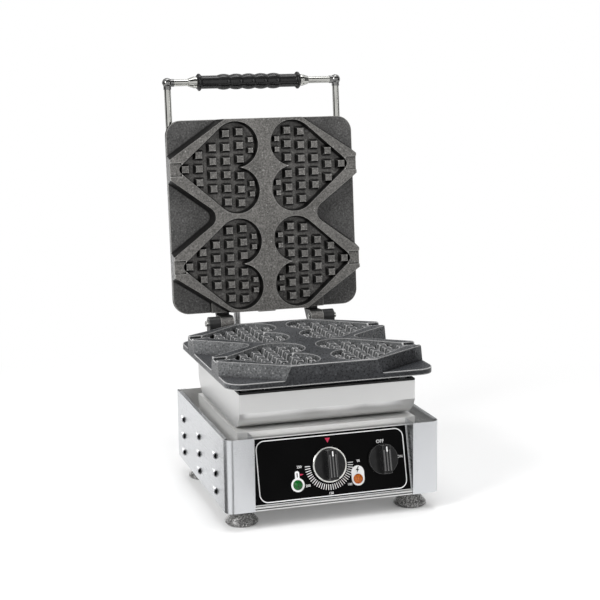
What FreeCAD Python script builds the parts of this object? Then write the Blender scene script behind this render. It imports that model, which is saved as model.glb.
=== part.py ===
"""Counter-top waffle iron with four heart moulds in each plate, standing open.

Millimetres, X to the right, Y to the back and Z up. Sizes are drawn in machine coordinates, with Y = 0 at the base's
front flanges and Z = 0 on the counter. Each sub-part's Placement then moves it so that the origin lies on the counter
under the middle of the open machine. Lid pieces are drawn shut and turned open about the hinge axis. Pieces on the
inclined control panel are drawn flat, with X across it, Y up its slope and Z out of it.
"""
import FreeCAD
import Part
import math
import os

import Sketcher

Vector = FreeCAD.Vector
X_AXIS = Vector(1, 0, 0)

SIZES = {
    # base shell
    "base_width": 300,
    "base_depth": 293,
    "base_height": 100,
    "foot_height": 26,
    "sheet": 1.2,
    "pan_sheet": 1.5,
    "flange_width": 39,
    "flange_return": 30,
    "corner_radius": 12,
    "rear_flange": 14,
    "rear_bend": 3,
    "hem_width": 4,
    "fit_gap": 0.2,
    "origin_setback": 193.9,
    # side louvres
    "louvre_length": 24,
    "louvre_radius": 5,
    "louvre_sink": 1,
    "louvre_first_y": 54,
    "louvre_pitch_y": 96,
    "louvre_first_z": 42,
    "louvre_pitch_z": 24.7,
    # control panel
    "fascia_low_y": 5,
    "fascia_low_z": 33,
    "fascia_tilt": 15,
    "fascia_length": 88,
    "lip_radius": 2,
    "overlay_sheet": 1,
    "overlay_edge": 1.3,
    "control_height": 44,
    "lamp_height": 21,
    "thermostat_x": -4,
    "switch_x": 72.5,
    "green_lamp_x": -49.5,
    "orange_lamp_x": 35.5,
    "shaft_radius": 3,
    "shaft_hole_radius": 5,
    "shaft_length": 36,
    "lamp_radius": 5.5,
    "lens_radius": 6.8,
    "lens_rise": 4,
    "knob_gap": 0.4,
    "skirt_radius": 21.5,
    "skirt_thickness": 5,
    "ring_width": 2.5,
    "knob_height": 20,
    "grip_width": 13,
    "switch_knob_radius": 20.5,
    "switch_grip_width": 11,
    "control_body": 36,
    "control_depth": 38,
    # deck, neck and plate housing
    "deck_drop": 30,
    "well_width": 24,
    "neck_setback": 31,
    "neck_rear_gap": 37,
    "neck_rise": 0.8,
    "neck_straight": 2.8,
    "gasket_inset": 14,
    "gasket_setback": 30,
    "wire_way_width": 50,
    "wire_way_setback": 20,
    "gasket_thickness": 2.5,
    "housing_side_inset": 2.4,
    "housing_overhang": 5.2,
    "housing_height": 49.8,
    "housing_curve_height": 24.1,
    "housing_curve_run": 26,
    "housing_curve_radius": 39,
    "rim_flange": 16,
    "rim_thickness": 3,
    "rim_width": 4,
    # baking plates
    "lobe_radius": 34.5,
    "lobe_centre": 44,
    "lobe_overlap": 0.5,
    "cleft_radius": 0.4,
    "tip_half_angle": 41.3,
    "tip_radius": 8,
    "mould_rib": 3.5,
    "mould_depth": 12,
    "mould_draft": 10,
    "tip_rim": 9.5,
    "edge_rim": 3.6,
    "shoulder": 15,
    "valley": 24,
    "valley_radius": 16,
    "block_draft": 13,
    "tip_half_width": 15,
    "slab_thickness": 8,
    "slab_radius": 23,
    "block_height": 19.6,
    "parting_gap": 0.5,
    "skirt_half_width": 88,
    "skirt_height": 13,
    "skirt_inset": 5,
    "skirt_wall": 7,
    "stick_width": 20,
    "stick_depth": 3,
    "peg_base": 15.5,
    "peg_top": 9.5,
    "peg_height": 9.5,
    "peg_root": 1,
    "peg_pitch_x": 21,
    "peg_pitch_y": 20.2,
    "first_peg": 121,
    "middle_gap": 2.2,
    "small_peg_x": 20.5,
    "small_peg_y": 24.8,
    "small_peg_pitch": 15.6,
    "small_peg_base": 10,
    "small_peg_top": 6.5,
    "boss_half_width": 13,
    "boss_reach": 3.5,
    # hinge
    "hinge_reach": 14,
    "open_angle": 95,
    "knuckle_radius": 10,
    "pin_radius": 4.5,
    "press_gap": 0.03,
    "running_gap": 0.06,
    "lug_inner": 60,
    "lug_width": 20,
    "ear_gap": 0.5,
    "ear_width": 17,
    "pin_reach": 4.5,
    "lug_root": 14,
    "pad_width": 28,
    "pad_depth": 32,
    "pad_rise": 6,
    "pin_inner_reach": 1.5,
    "pin_chamfer": 0.6,
    "bracket_gap": 2,
    "bracket_screw_rise": 7,
    "bracket_screw_pitch": 11,
    "bracket_thread": 9,
    # heaters
    "heater_radius": 4,
    "heater_pitch": 50,
    "heater_half_run": 70,
    "contact_gap": 0.1,
    "clamp_thickness": 3,
    "clamp_half_width": 78,
    "clamp_half_depth": 102,
    "clamp_screw_x": 50,
    "clamp_screw_y": 85,
    "insulation_thickness": 28,
    "insulation_margin": 24,
    "bulb_radius": 3,
    "bulb_length": 80,
    "capillary_radius": 1.2,
    "capillary_bend": 12,
    "capillary_gap": 0.6,
    "terminal_width": 50,
    "terminal_depth": 24,
    "terminal_height": 18,
    # lid cover and handle
    "cover_inset": 24.5,
    "cover_front_inset": 13,
    "cover_rear_inset": 8,
    "cover_depth": 38,
    "cover_radius": 15,
    "rod_radius": 5,
    "leg_offset": 12.3,
    "bar_lead": 57,
    "bar_rise": 24,
    "leg_overlap": 96,
    "saddle_length": 14,
    "saddle_height": 16,
    "saddle_lip": 2,
    "saddle_first": 30,
    "saddle_pitch": 40,
    "elbow_radius": 7.5,
    "socket_radius": 5.7,
    "socket_length": 10,
    "rod_stop": 6,
    "grip_offset": -6.5,
    "grip_half_length": 81,
    "grip_radius": 9.8,
    "grip_flange_radius": 12.9,
    "grip_flange_width": 5,
    "grip_wave_pitch": 19.5,
    "grip_wave_radius": 24.5,
    "ferrule_length": 13,
    "ferrule_radius": 8.6,
    "ferrule_tip_radius": 5.8,
    # conduit, gland and feet
    "conduit_x": -40,
    "conduit_radius": 5,
    "conduit_height": 70,
    "conduit_bend": 30,
    "conduit_grip": 6,
    "gland_length": 10,
    "gland_thread": 8,
    "gland_flange": 11,
    "gland_nut": 4.5,
    "mains_x": 90,
    "mains_bore": 4.5,
    "foot_x": 120.7,
    "foot_inset": 37.8,
    "foot_radius": 22.5,
    "foot_neck_radius": 13.5,
    "foot_top_radius": 15.5,
    "foot_edge": 2.5,
    "foot_waist": 13,
    "foot_neck": 18,
    "foot_collar": 4,
    "foot_well": 6,
    "screw_radius": 3,
    "small_screw_radius": 2.5,
    "screw_head": 2,
    "screw_head_height": 3,
    "hole_gap": 0.2,
    "thread_depth": 6,
    "thread_play": 0.4,
    "cut_past": 1,
}

GRIP_WAVES = 5
PEG_COLUMNS = (1, 3, 4, 6, 6)
LOUVRE_COLUMNS = 3
LOUVRE_ROWS = 3

doc = FreeCAD.newDocument("WaffleIron")
parts = []


class Size:
    """A number together with the sheet expression that gives it."""

    def __init__(self, value, text):
        self.value = value
        self.text = text

    @staticmethod
    def of(number):
        if isinstance(number, Size):
            return number
        return Size(float(number), f"({float(number)!r})")

    def _with(self, other, sign, value):
        return Size(value, f"({self.text} {sign} {Size.of(other).text})")

    def __add__(self, other):
        return self._with(other, "+", self.value + Size.of(other).value)

    def __sub__(self, other):
        return self._with(other, "-", self.value - Size.of(other).value)

    def __mul__(self, other):
        return self._with(other, "*", self.value * Size.of(other).value)

    def __truediv__(self, other):
        return self._with(other, "/", self.value / Size.of(other).value)

    def __radd__(self, other):
        return Size.of(other) + self

    def __rsub__(self, other):
        return Size.of(other) - self

    def __rmul__(self, other):
        return Size.of(other) * self

    def __neg__(self):
        return Size(-self.value, f"(-{self.text})")


def sine(angle):
    return Size(math.sin(math.radians(angle.value)), f"sin({angle.text})")


def cosine(angle):
    return Size(math.cos(math.radians(angle.value)), f"cos({angle.text})")


def tangent(angle):
    return Size(math.tan(math.radians(angle.value)), f"tan({angle.text})")


def root(number):
    return Size(math.sqrt(number.value), f"sqrt({number.text})")


def smaller(first, second):
    return Size(min(first.value, second.value), f"min({first.text}; {second.text})")


class Dimensions:
    """The driving dimensions, kept in the document's spreadsheet and read back by name."""

    def __init__(self, sizes):
        sheet = doc.addObject("Spreadsheet::Sheet", "Sizes")
        for row, (alias, value) in enumerate(sizes.items(), start=1):
            sheet.set(f"A{row}", alias)
            sheet.set(f"B{row}", str(value))
            sheet.setAlias(f"B{row}", alias)
        doc.recompute()
        self.sizes = sizes

    def __getattr__(self, alias):
        return Size(float(self.sizes[alias]), f"Sizes.{alias}")


d = Dimensions(SIZES)
ZERO = Size.of(0)

# levels and main planes in machine coordinates
half = d.base_width / 2
inside = half - d.sheet
base_top = d.foot_height + d.base_height
pan_top = d.foot_height + d.pan_sheet
deck_top = base_top - d.deck_drop
neck_top = base_top + d.neck_rise
neck_half = half - d.well_width
neck_front = d.neck_setback
neck_rear = d.base_depth - d.neck_rear_gap
plate_y = (neck_front + neck_rear) / 2
housing_low = neck_top + d.gasket_thickness
housing_top = housing_low + d.housing_height
housing_half = neck_half - d.housing_side_inset
housing_front = neck_front - d.housing_overhang
housing_rear = neck_rear + d.housing_overhang
slab_low = housing_top + d.skirt_height
slab_top = slab_low + d.slab_thickness
face = slab_top + d.block_height
parting = face + d.parting_gap / 2
lobe_spread = d.lobe_radius - d.lobe_overlap
mould_row = lobe_spread + d.lobe_radius + d.mould_rib
mould_tip = (
    d.lobe_centre
    + d.lobe_radius * sine(d.tip_half_angle)
    + (lobe_spread + d.lobe_radius * cosine(d.tip_half_angle)) / tangent(d.tip_half_angle)
)
plate_half_x = mould_tip + d.tip_rim
plate_half_y = mould_row + lobe_spread + d.lobe_radius + d.edge_rim
plate_rear = plate_y + plate_half_y
hinge_y = plate_rear + d.hinge_reach
lid_slab_back = parting + (parting - slab_low)
lid_slab_front = parting + (parting - slab_top)
cover_half = plate_half_x - d.cover_inset
cover_front = plate_y - plate_half_y + d.cover_front_inset
cover_rear = plate_rear - d.cover_rear_inset
cover_back = lid_slab_back + d.cover_depth
leg_x = cover_half + d.leg_offset
bar_y = plate_y - plate_half_y - d.bar_lead
bar_z = lid_slab_back + d.bar_rise
rod_bore = d.rod_radius + d.press_gap
past = d.cut_past


def bind(obj, prop, size):
    """Ties a property to the sheet."""
    obj.setExpression(prop, Size.of(size).text)


def place(obj, point, turn=ZERO):
    """Ties an object's Placement: turned about X by turn degrees, then moved to point."""
    obj.Placement = FreeCAD.Placement(Vector(), FreeCAD.Rotation(X_AXIS, 1))
    bind(obj, "Placement.Rotation.Angle", turn)
    for letter, size in zip("xyz", point):
        bind(obj, f"Placement.Base.{letter}", size)


def shift(point):
    """A machine point in the part's own frame."""
    x, y, z = point
    return x, y - d.origin_setback, z


def lid_point(x, y, z):
    """Where a point of the shut lid lies once the lid stands open, in machine coordinates."""
    run = y - hinge_y
    rise = z - parting
    return (
        Size.of(x),
        hinge_y + run * cosine(d.open_angle) + rise * sine(d.open_angle),
        parting - run * sine(d.open_angle) + rise * cosine(d.open_angle),
    )


def panel_point(x, up, out):
    """A point of the control panel, given across, up the slope and out of it, in machine coordinates."""
    return (
        Size.of(x),
        d.fascia_low_y + up * sine(d.fascia_tilt) - out * cosine(d.fascia_tilt),
        d.fascia_low_z + up * cosine(d.fascia_tilt) + out * sine(d.fascia_tilt),
    )


def keep(obj, label, point, turn=ZERO):
    """Names a finished sub-part and gives it its place."""
    piece = group(obj)
    piece.Label = label
    place(piece, shift(point), turn)
    parts.append(piece)


def on_base(obj, label, at=(ZERO, ZERO, ZERO)):
    keep(obj, label, at)


def on_lid(obj, label, at=(ZERO, ZERO, ZERO)):
    keep(obj, label, lid_point(*at), -d.open_angle)


def on_panel(obj, label, at=(ZERO, ZERO, ZERO)):
    keep(obj, label, panel_point(*at), 90 - d.fascia_tilt)


def box(low, high):
    """A box between two corners."""
    solid = doc.addObject("Part::Box", "Box")
    for prop, start, end in zip(("Length", "Width", "Height"), low, high):
        bind(solid, prop, Size.of(end) - start)
    for letter, start in zip("xyz", low):
        bind(solid, f"Placement.Base.{letter}", start)
    return solid


DIRECTIONS = {
    "x": FreeCAD.Rotation(Vector(0, 1, 0), 90),
    "y": FreeCAD.Rotation(X_AXIS, -90),
    "z": FreeCAD.Rotation(),
}


def rod(start, direction, radius, length):
    """A cylinder from its start point along one axis."""
    solid = doc.addObject("Part::Cylinder", "Rod")
    solid.Placement = FreeCAD.Placement(Vector(), DIRECTIONS[direction])
    bind(solid, "Radius", radius)
    bind(solid, "Height", length)
    for letter, size in zip("xyz", start):
        bind(solid, f"Placement.Base.{letter}", size)
    return solid


def fuse(*shapes):
    joined = doc.addObject("Part::MultiFuse", "Fuse")
    joined.Shapes = list(shapes)
    joined.Refine = True
    return joined


def cut(base, *tools):
    result = doc.addObject("Part::Cut", "Cut")
    result.Base = base
    result.Tool = tools[0] if len(tools) == 1 else fuse(*tools)
    result.Refine = True
    return result


def common(first, second):
    result = doc.addObject("Part::Common", "Common")
    result.Base = first
    result.Tool = second
    return result


def group(*shapes):
    """Separate solids under one name."""
    several = doc.addObject("Part::Compound", "Group")
    several.Links = list(shapes)
    return several


def mirrored(source, normal, height=ZERO):
    """A copy mirrored in the plane with that normal, at that height along Z."""
    copy = doc.addObject("Part::Mirroring", "Mirror")
    copy.Source = source
    copy.Normal = normal
    bind(copy, "Base.z", height)
    return copy


def arc_geometry(start, end, radius, turn, large):
    """The circle arc from start to end, turning left for turn 1 and right for turn -1."""
    chord = end - start
    lift = math.sqrt(max(radius**2 - chord.Length**2 / 4, 0))
    side = turn if not large else -turn
    normal = Vector(-chord.y, chord.x, 0).normalize()
    centre = (start + end) / 2 + normal * lift * side
    first, last = (start, end) if turn > 0 else (end, start)
    angles = [math.atan2(p.y - centre.y, p.x - centre.x) for p in (first, last)]
    return Part.ArcOfCircle(Part.Circle(centre, Vector(0, 0, 1), radius), *angles)


def draw(sketch, outline, closed=True):
    """Draws an outline and ties each vertex and radius to the sheet.

    A vertex is (x, y), reached by a line, or (x, y, radius, turn), reached by an arc that turns left for turn 1 and
    right for turn -1; a fifth entry of True takes the longer arc.
    """
    points = [Vector(Size.of(v[0]).value, Size.of(v[1]).value, 0) for v in outline]
    first = 0 if closed else 1
    ends = []
    wanted = []
    for i in range(first, len(outline)):
        start, end, vertex = points[i - 1], points[i], outline[i]
        if len(vertex) == 2:
            edge = sketch.addGeometry(Part.LineSegment(start, end))
            ends.append((edge, 1, 2))
            continue
        radius, turn = Size.of(vertex[2]), vertex[3]
        large = len(vertex) == 5
        edge = sketch.addGeometry(arc_geometry(start, end, radius.value, turn, large))
        ends.append((edge, 1, 2) if turn > 0 else (edge, 2, 1))
        wanted.append((Sketcher.Constraint("Radius", edge, radius.value), radius))
    for here, there in zip(ends, ends[1:] + (ends[:1] if closed else [])):
        wanted.append((Sketcher.Constraint("Coincident", here[0], here[2], there[0], there[1]), None))
    tied = [(end[0], end[2], vertex) for end, vertex in zip(ends, outline[first:])]
    if not closed:
        tied.append((ends[0][0], ends[0][1], outline[0]))
    for edge, position, vertex in tied:
        for kind, size in zip(("DistanceX", "DistanceY"), map(Size.of, vertex[:2])):
            wanted.append((Sketcher.Constraint(kind, edge, position, size.value), size))
    indices = sketch.addConstraint([constraint for constraint, _ in wanted])
    for index, (_, size) in zip(indices, wanted):
        if size is not None:
            bind(sketch, f"Constraints[{index}]", size)


def body_sketch(body, plane, outline, offset=ZERO):
    """A closed sketch on one of the body's own origin planes."""
    sketch = body.newObject("Sketcher::SketchObject", "Sketch")
    support = next(f for f in body.Origin.OriginFeatures if f.Role == f"{plane}_Plane")
    sketch.AttachmentSupport = [(support, "")]
    sketch.MapMode = "FlatFace"
    bind(sketch, "AttachmentOffset.Base.z", offset)
    draw(sketch, outline)
    return sketch


def padded(plane, outline, start, end):
    """A body padded from an outline in the XY or YZ plane, between two heights along its normal."""
    body = doc.addObject("PartDesign::Body", "Pad_body")
    sketch = body_sketch(body, plane, outline, start)
    pad = body.newObject("PartDesign::Pad", "Pad")
    pad.Profile = sketch
    bind(pad, "Length", Size.of(end) - start)
    return body


def turned(outline, axis="Z"):
    """A body turned about Z, from (radius, height) points, or about X, from (distance, radius) points."""
    plane, line = {"Z": ("YZ", "V_Axis"), "X": ("XY", "H_Axis")}[axis]
    body = doc.addObject("PartDesign::Body", "Turned_body")
    sketch = body_sketch(body, plane, outline)
    revolution = body.newObject("PartDesign::Revolution", "Revolution")
    revolution.Profile = sketch
    revolution.ReferenceAxis = (sketch, [line])
    revolution.Angle = 360
    return body


PATH_PLANES = {
    "XY": FreeCAD.Rotation(),
    "YZ": FreeCAD.Rotation(Vector(1, 1, 1), 120),
}


def tube(plane, path, height, radius, heading):
    """A round bar swept along an open path in the XY or YZ plane, starting along the axis named heading."""
    spine = doc.addObject("Sketcher::SketchObject", "Path")
    spine.Placement = FreeCAD.Placement(Vector(), PATH_PLANES[plane])
    bind(spine, "Placement.Base.z" if plane == "XY" else "Placement.Base.x", height)
    draw(spine, path, closed=False)
    ring = doc.addObject("Part::Circle", "Ring")
    ring.Placement = FreeCAD.Placement(Vector(), DIRECTIONS[heading])
    bind(ring, "Radius", radius)
    first, second = path[0][:2]
    start = (first, second, height) if plane == "XY" else (height, first, second)
    for letter, size in zip("xyz", start):
        bind(ring, f"Placement.Base.{letter}", size)
    sweep = doc.addObject("Part::Sweep", "Sweep")
    sweep.Sections = [ring]
    sweep.Spine = (spine, [f"Edge{i}" for i in range(1, len(path))])
    sweep.Solid = True
    return sweep


def rounded_rectangle(low, high, radius):
    (x0, y0), (x1, y1) = low, high
    return [
        (x0 + radius, y0, radius, 1),
        (x1 - radius, y0),
        (x1, y0 + radius, radius, 1),
        (x1, y1 - radius),
        (x1 - radius, y1, radius, 1),
        (x0 + radius, y1),
        (x0, y1 - radius, radius, 1),
        (x0, y0 + radius),
    ]


def screw(start, direction, radius, length, head_first=True):
    """A pan-headed screw along one axis: the head, then the shank, or the shank, then the head."""
    x, y, z = start
    step = {"x": (1, 0, 0), "y": (0, 1, 0), "z": (0, 0, 1)}[direction]
    gap = d.screw_head_height if head_first else length
    second = tuple(Size.of(c) + gap * k for c, k in zip((x, y, z), step))
    head_start, shank_start = ((x, y, z), second) if head_first else (second, (x, y, z))
    head = rod(head_start, direction, radius + d.screw_head, d.screw_head_height)
    return fuse(head, rod(shank_start, direction, radius, length))


# base shell


def side_panel(side):
    """One side sheet: rear flange, wall, rounded corner, front flange and the return beside the control panel."""
    radius, bend, skin = d.corner_radius, d.rear_bend, d.sheet
    flange = half - d.flange_width
    depth = d.base_depth
    outline = [
        (flange, d.flange_return),
        (flange, ZERO),
        (half - radius, ZERO),
        (half, radius, radius, 1),
        (half, depth - bend),
        (half - bend, depth, bend, 1),
        (half - d.rear_flange, depth),
        (half - d.rear_flange, depth - skin),
        (half - bend, depth - skin),
        (inside, depth - bend, bend - skin, -1),
        (inside, radius),
        (half - radius, skin, radius - skin, -1),
        (flange + skin, skin),
        (flange + skin, d.flange_return),
    ]
    placed = [(v[0] * side, v[1], *((v[2], v[3] * side) if len(v) > 2 else ())) for v in outline]
    wall = padded("XY", placed, d.foot_height, base_top)
    hem_edges = sorted((inside * side, (inside - d.hem_width) * side), key=lambda size: size.value)
    hem = box(
        (hem_edges[0], radius, base_top - skin),
        (hem_edges[1], depth - d.rear_flange, base_top),
    )
    scoops, hollows = louvres(side)
    outer = sorted((half * side, (half + d.louvre_radius) * side), key=lambda size: size.value)
    outside = box((outer[0], ZERO, ZERO), (outer[1], depth, base_top))
    return cut(fuse(wall, hem, common(scoops, outside)), hollows)


def louvres(side):
    """Cones that form one side's scoops, mouths to the front, and the smaller cones that hollow them."""
    axis_x = (half - d.louvre_sink) * side
    scoops, hollows = [], []
    for column in range(LOUVRE_COLUMNS):
        for row in range(LOUVRE_ROWS):
            y = d.louvre_first_y + d.louvre_pitch_y * column
            z = d.louvre_first_z + d.louvre_pitch_z * row
            scoops.append(cone((axis_x, y, z), d.louvre_radius, d.sheet, d.louvre_length))
            hollow_radius = d.louvre_radius - d.sheet
            hollows.append(cone((axis_x, y - d.sheet, z), hollow_radius, d.sheet / 2, d.louvre_length))
    return fuse(*scoops), fuse(*hollows)


def cone(start, radius, end_radius, length):
    """A cone along Y from its start point."""
    solid = doc.addObject("Part::Cone", "Cone")
    solid.Placement = FreeCAD.Placement(Vector(), DIRECTIONS["y"])
    bind(solid, "Radius1", radius)
    bind(solid, "Radius2", end_radius)
    bind(solid, "Height", length)
    for letter, size in zip("xyz", start):
        bind(solid, f"Placement.Base.{letter}", size)
    return solid


def foot_places():
    rear = d.base_depth - d.foot_inset
    return {
        "front_left": (-d.foot_x, d.foot_inset),
        "front_right": (d.foot_x, d.foot_inset),
        "rear_left": (-d.foot_x, rear),
        "rear_right": (d.foot_x, rear),
    }


def base_pan():
    low = (-(inside - d.fit_gap), d.sheet + d.fit_gap)
    high = (inside - d.fit_gap, d.base_depth - d.sheet - d.fit_gap)
    plate = padded("XY", rounded_rectangle(low, high, d.corner_radius), d.foot_height, pan_top)
    flange = half - d.flange_width
    slots = [
        box(
            (near_edge - d.fit_gap, ZERO, d.foot_height - past),
            (near_edge + d.sheet + d.fit_gap, d.flange_return + d.fit_gap, pan_top + past),
        )
        for near_edge in (flange, -flange - d.sheet)
    ]
    holes = [
        rod((x, y, d.foot_height - past), "z", d.screw_radius + d.hole_gap, d.pan_sheet + past * 2)
        for x, y in foot_places().values()
    ]
    return cut(plate, *slots, *holes)


def rear_panel():
    outer = d.base_depth - d.sheet
    edge = half - d.rear_bend
    sheet = box((-edge, outer - d.sheet, pan_top), (edge, outer, base_top))
    bore = d.gland_thread + d.hole_gap
    holes = [
        rod((x, outer - d.sheet - past, d.conduit_height), "y", bore, d.sheet + past * 2)
        for x in (d.conduit_x, d.mains_x)
    ]
    return cut(sheet, *holes)


def deck_tray():
    low = (-(inside - d.fit_gap), d.sheet + d.fit_gap)
    high = (inside - d.fit_gap, d.base_depth - d.sheet * 2 - d.fit_gap)
    floor = padded("XY", rounded_rectangle(low, high, d.corner_radius), deck_top - d.sheet, deck_top)
    notch_half = half - d.flange_width + d.sheet + d.fit_gap
    notch = box((-notch_half, ZERO, deck_top - d.deck_drop), (notch_half, neck_front, base_top))
    return cut(floor, notch, wire_way(deck_top - d.deck_drop, base_top))


def neck_box():
    """Flat-sided neck with rounded lower corners, standing in the deck's well and open underneath."""
    skin = d.sheet
    radius = neck_top - deck_top - d.neck_straight
    low = deck_top + radius
    outer = [
        (neck_front + radius, deck_top, radius, 1),
        (neck_rear - radius, deck_top),
        (neck_rear, low, radius, 1),
        (neck_rear, neck_top),
        (neck_front, neck_top),
        (neck_front, low),
    ]
    inner = [
        (neck_front + radius, deck_top - past),
        (neck_rear - radius, deck_top - past),
        (neck_rear - radius, deck_top + skin),
        (neck_rear - skin, low, radius - skin, 1),
        (neck_rear - skin, neck_top - skin),
        (neck_front + skin, neck_top - skin),
        (neck_front + skin, low),
        (neck_front + radius, deck_top + skin, radius - skin, 1),
    ]
    solid = padded("YZ", outer, -neck_half, neck_half)
    hollow = padded("YZ", inner, skin - neck_half, neck_half - skin)
    return cut(solid, hollow, wire_way(deck_top, housing_low))


def gasket_edges():
    """Half-width, front and rear of the thermal gasket."""
    return neck_half - d.gasket_inset, neck_front + d.gasket_setback, neck_rear - d.gasket_setback


def wire_way(low, high):
    """The passage for wires and capillary from the base up to the heater."""
    edge = d.wire_way_width / 2
    front = gasket_edges()[1] + d.wire_way_setback
    return box((-edge, front, low), (edge, front + d.wire_way_width, high))


def thermal_gasket():
    edge, front, rear = gasket_edges()
    board = box((-edge, front, neck_top), (edge, rear, housing_low))
    return cut(board, wire_way(deck_top, housing_top))


def housing_profile(skin, low, top):
    """Outline of the plate housing from the side, drawn in by the skin's thickness."""
    front, rear = housing_front + skin, housing_rear - skin
    bend = housing_low + d.housing_curve_height
    run = housing_front + d.housing_curve_run
    back_run = housing_rear - d.housing_curve_run
    radius = d.housing_curve_radius - skin
    return [
        (run, low, radius, 1),
        (back_run, low),
        (rear, bend, radius, 1),
        (rear, top),
        (front, top),
        (front, bend),
    ]


def bracket_screw_places():
    """Where the hinge brackets' screws cross the housing's rear wall, as (x, z)."""
    lowest = housing_low + d.housing_curve_height + d.bracket_screw_rise
    centre = d.lug_inner + d.lug_width + d.ear_gap + d.ear_width / 2
    return [(centre * side, lowest + d.bracket_screw_pitch * step) for side in (-1, 1) for step in (0, 1)]


def rim_opening(width, low, high):
    """The housing's mouth, drawn in from its outside by width."""
    return box(
        (width - housing_half, housing_front + width, low),
        (housing_half - width, housing_rear - width, high),
    )


def plate_housing():
    """Flat-sided housing with rolled lower edges and an inward flange round its mouth."""
    skin = d.sheet
    solid = padded("YZ", housing_profile(ZERO, housing_low, housing_top), -housing_half, housing_half)
    inner = housing_profile(skin, housing_low + skin, housing_top - skin)
    hollow = padded("YZ", inner, skin - housing_half, housing_half - skin)
    mouth = rim_opening(d.rim_flange, housing_top - skin - past, housing_top + past)
    bore = d.small_screw_radius + d.hole_gap
    holes = [
        rod((x, housing_rear - skin - past, z), "y", bore, skin + past * 2) for x, z in bracket_screw_places()
    ]
    return cut(solid, hollow, mouth, wire_way(neck_top, housing_low + skin + past), *holes)


def rim_gasket():
    top = housing_top + d.rim_thickness
    return cut(rim_opening(ZERO, housing_top, top), rim_opening(d.rim_width, housing_top - past, top + past))


# control panel, drawn flat


def shaft_places():
    return {"thermostat": d.thermostat_x, "switch": d.switch_x}


def lamp_places():
    return {"green_lamp": d.green_lamp_x, "orange_lamp": d.orange_lamp_x}


def panel_holes(start, length):
    """Holes for both shafts and both lamps through a sheet of the panel."""
    shafts = [rod((x, d.control_height, start), "z", d.shaft_hole_radius, length) for x in shaft_places().values()]
    bore = d.lamp_radius + d.hole_gap
    lamps = [rod((x, d.lamp_height, start), "z", bore, length) for x in lamp_places().values()]
    return shafts + lamps


def control_fascia():
    """Steel panel whose lower end stands on the pan, with a rolled lip below the overlay."""
    edge = half - d.flange_width - d.fit_gap
    stand = d.fascia_low_z - pan_top - d.sheet * sine(d.fascia_tilt) - d.press_gap
    low = stand / cosine(d.fascia_tilt)
    sheet = box((-edge, -low, -d.sheet), (edge, d.fascia_length, ZERO))
    bead = rod((-edge, d.lip_radius - low, ZERO), "x", d.lip_radius, edge * 2)
    return cut(fuse(sheet, bead), *panel_holes(-d.sheet * 2, d.sheet * 4))


def panel_overlay():
    edge = half - d.flange_width - d.overlay_edge
    sheet = box((-edge, ZERO, ZERO), (edge, d.fascia_length - d.overlay_edge, d.overlay_sheet))
    return cut(sheet, *panel_holes(-d.sheet, d.sheet * 4))


def control_body():
    """Case of the thermostat or the switch, behind the fascia, with a bore for its shaft."""
    edge = d.control_body / 2
    back = -d.sheet - d.control_depth
    case = box((-edge, -edge, back), (edge, edge, -d.sheet))
    return cut(case, rod((ZERO, ZERO, -d.shaft_length), "z", d.shaft_radius + d.running_gap, d.shaft_length))


def lamp_body():
    return rod((ZERO, ZERO, -d.control_depth + d.overlay_sheet), "z", d.lamp_radius, d.control_depth)


def lamp_lens():
    top = d.overlay_sheet + d.lens_rise
    dome = (d.lens_radius * d.lens_radius + d.lens_rise * d.lens_rise) / (d.lens_rise * 2)
    return turned(
        [
            (ZERO, d.overlay_sheet),
            (d.lens_radius, d.overlay_sheet),
            (ZERO, top, dome, 1),
        ]
    )


def knob_low():
    return d.overlay_sheet + d.knob_gap


def control_shaft():
    return rod((ZERO, ZERO, d.press_gap - d.shaft_length + d.knob_height / 2), "z", d.shaft_radius, d.shaft_length)


def control_knob(radius, grip_width):
    """Round skirt with a grip bar across it, bored for the shaft."""
    low = knob_low()
    top = low + d.knob_height
    skirt = rod((ZERO, ZERO, low), "z", radius, d.skirt_thickness)
    bar = box((-grip_width / 2, -radius, low), (grip_width / 2, radius, top))
    grip = common(bar, rod((ZERO, ZERO, low), "z", radius - past, d.knob_height))
    bore_top = d.knob_height / 2 + d.press_gap * 2
    bore = rod((ZERO, ZERO, ZERO), "z", d.shaft_radius + d.press_gap, bore_top)
    recess = rod((ZERO, ZERO, ZERO), "z", d.shaft_hole_radius, low + d.skirt_thickness / 2)
    return cut(fuse(skirt, grip), bore, recess)


def knob_ring():
    inner = d.skirt_radius + d.press_gap
    outer = inner + d.ring_width
    low = knob_low()
    top = low + d.skirt_thickness
    return turned(
        [
            (inner, low),
            (outer, low),
            (outer, top - d.ring_width / 2),
            (outer - d.ring_width / 2, top, d.ring_width / 2, 1),
            (inner, top),
        ]
    )


def panel_pieces():
    on_panel(control_fascia(), "control_fascia")
    on_panel(panel_overlay(), "panel_overlay")
    for name, x in shaft_places().items():
        at = (x, d.control_height, ZERO)
        on_panel(control_body(), f"{name}_body", at)
        on_panel(control_shaft(), f"{name}_shaft", at)
    on_panel(control_knob(d.skirt_radius, d.grip_width), "thermostat_knob", (d.thermostat_x, d.control_height, ZERO))
    on_panel(knob_ring(), "thermostat_knob_ring", (d.thermostat_x, d.control_height, ZERO))
    switch = control_knob(d.switch_knob_radius, d.switch_grip_width)
    on_panel(switch, "switch_knob", (d.switch_x, d.control_height, ZERO))
    for name, x in lamp_places().items():
        at = (x, d.lamp_height, ZERO)
        on_panel(lamp_body(), f"{name}_body", at)
        on_panel(lamp_lens(), f"{name}_lens", at)


# baking plates, drawn shut


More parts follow.
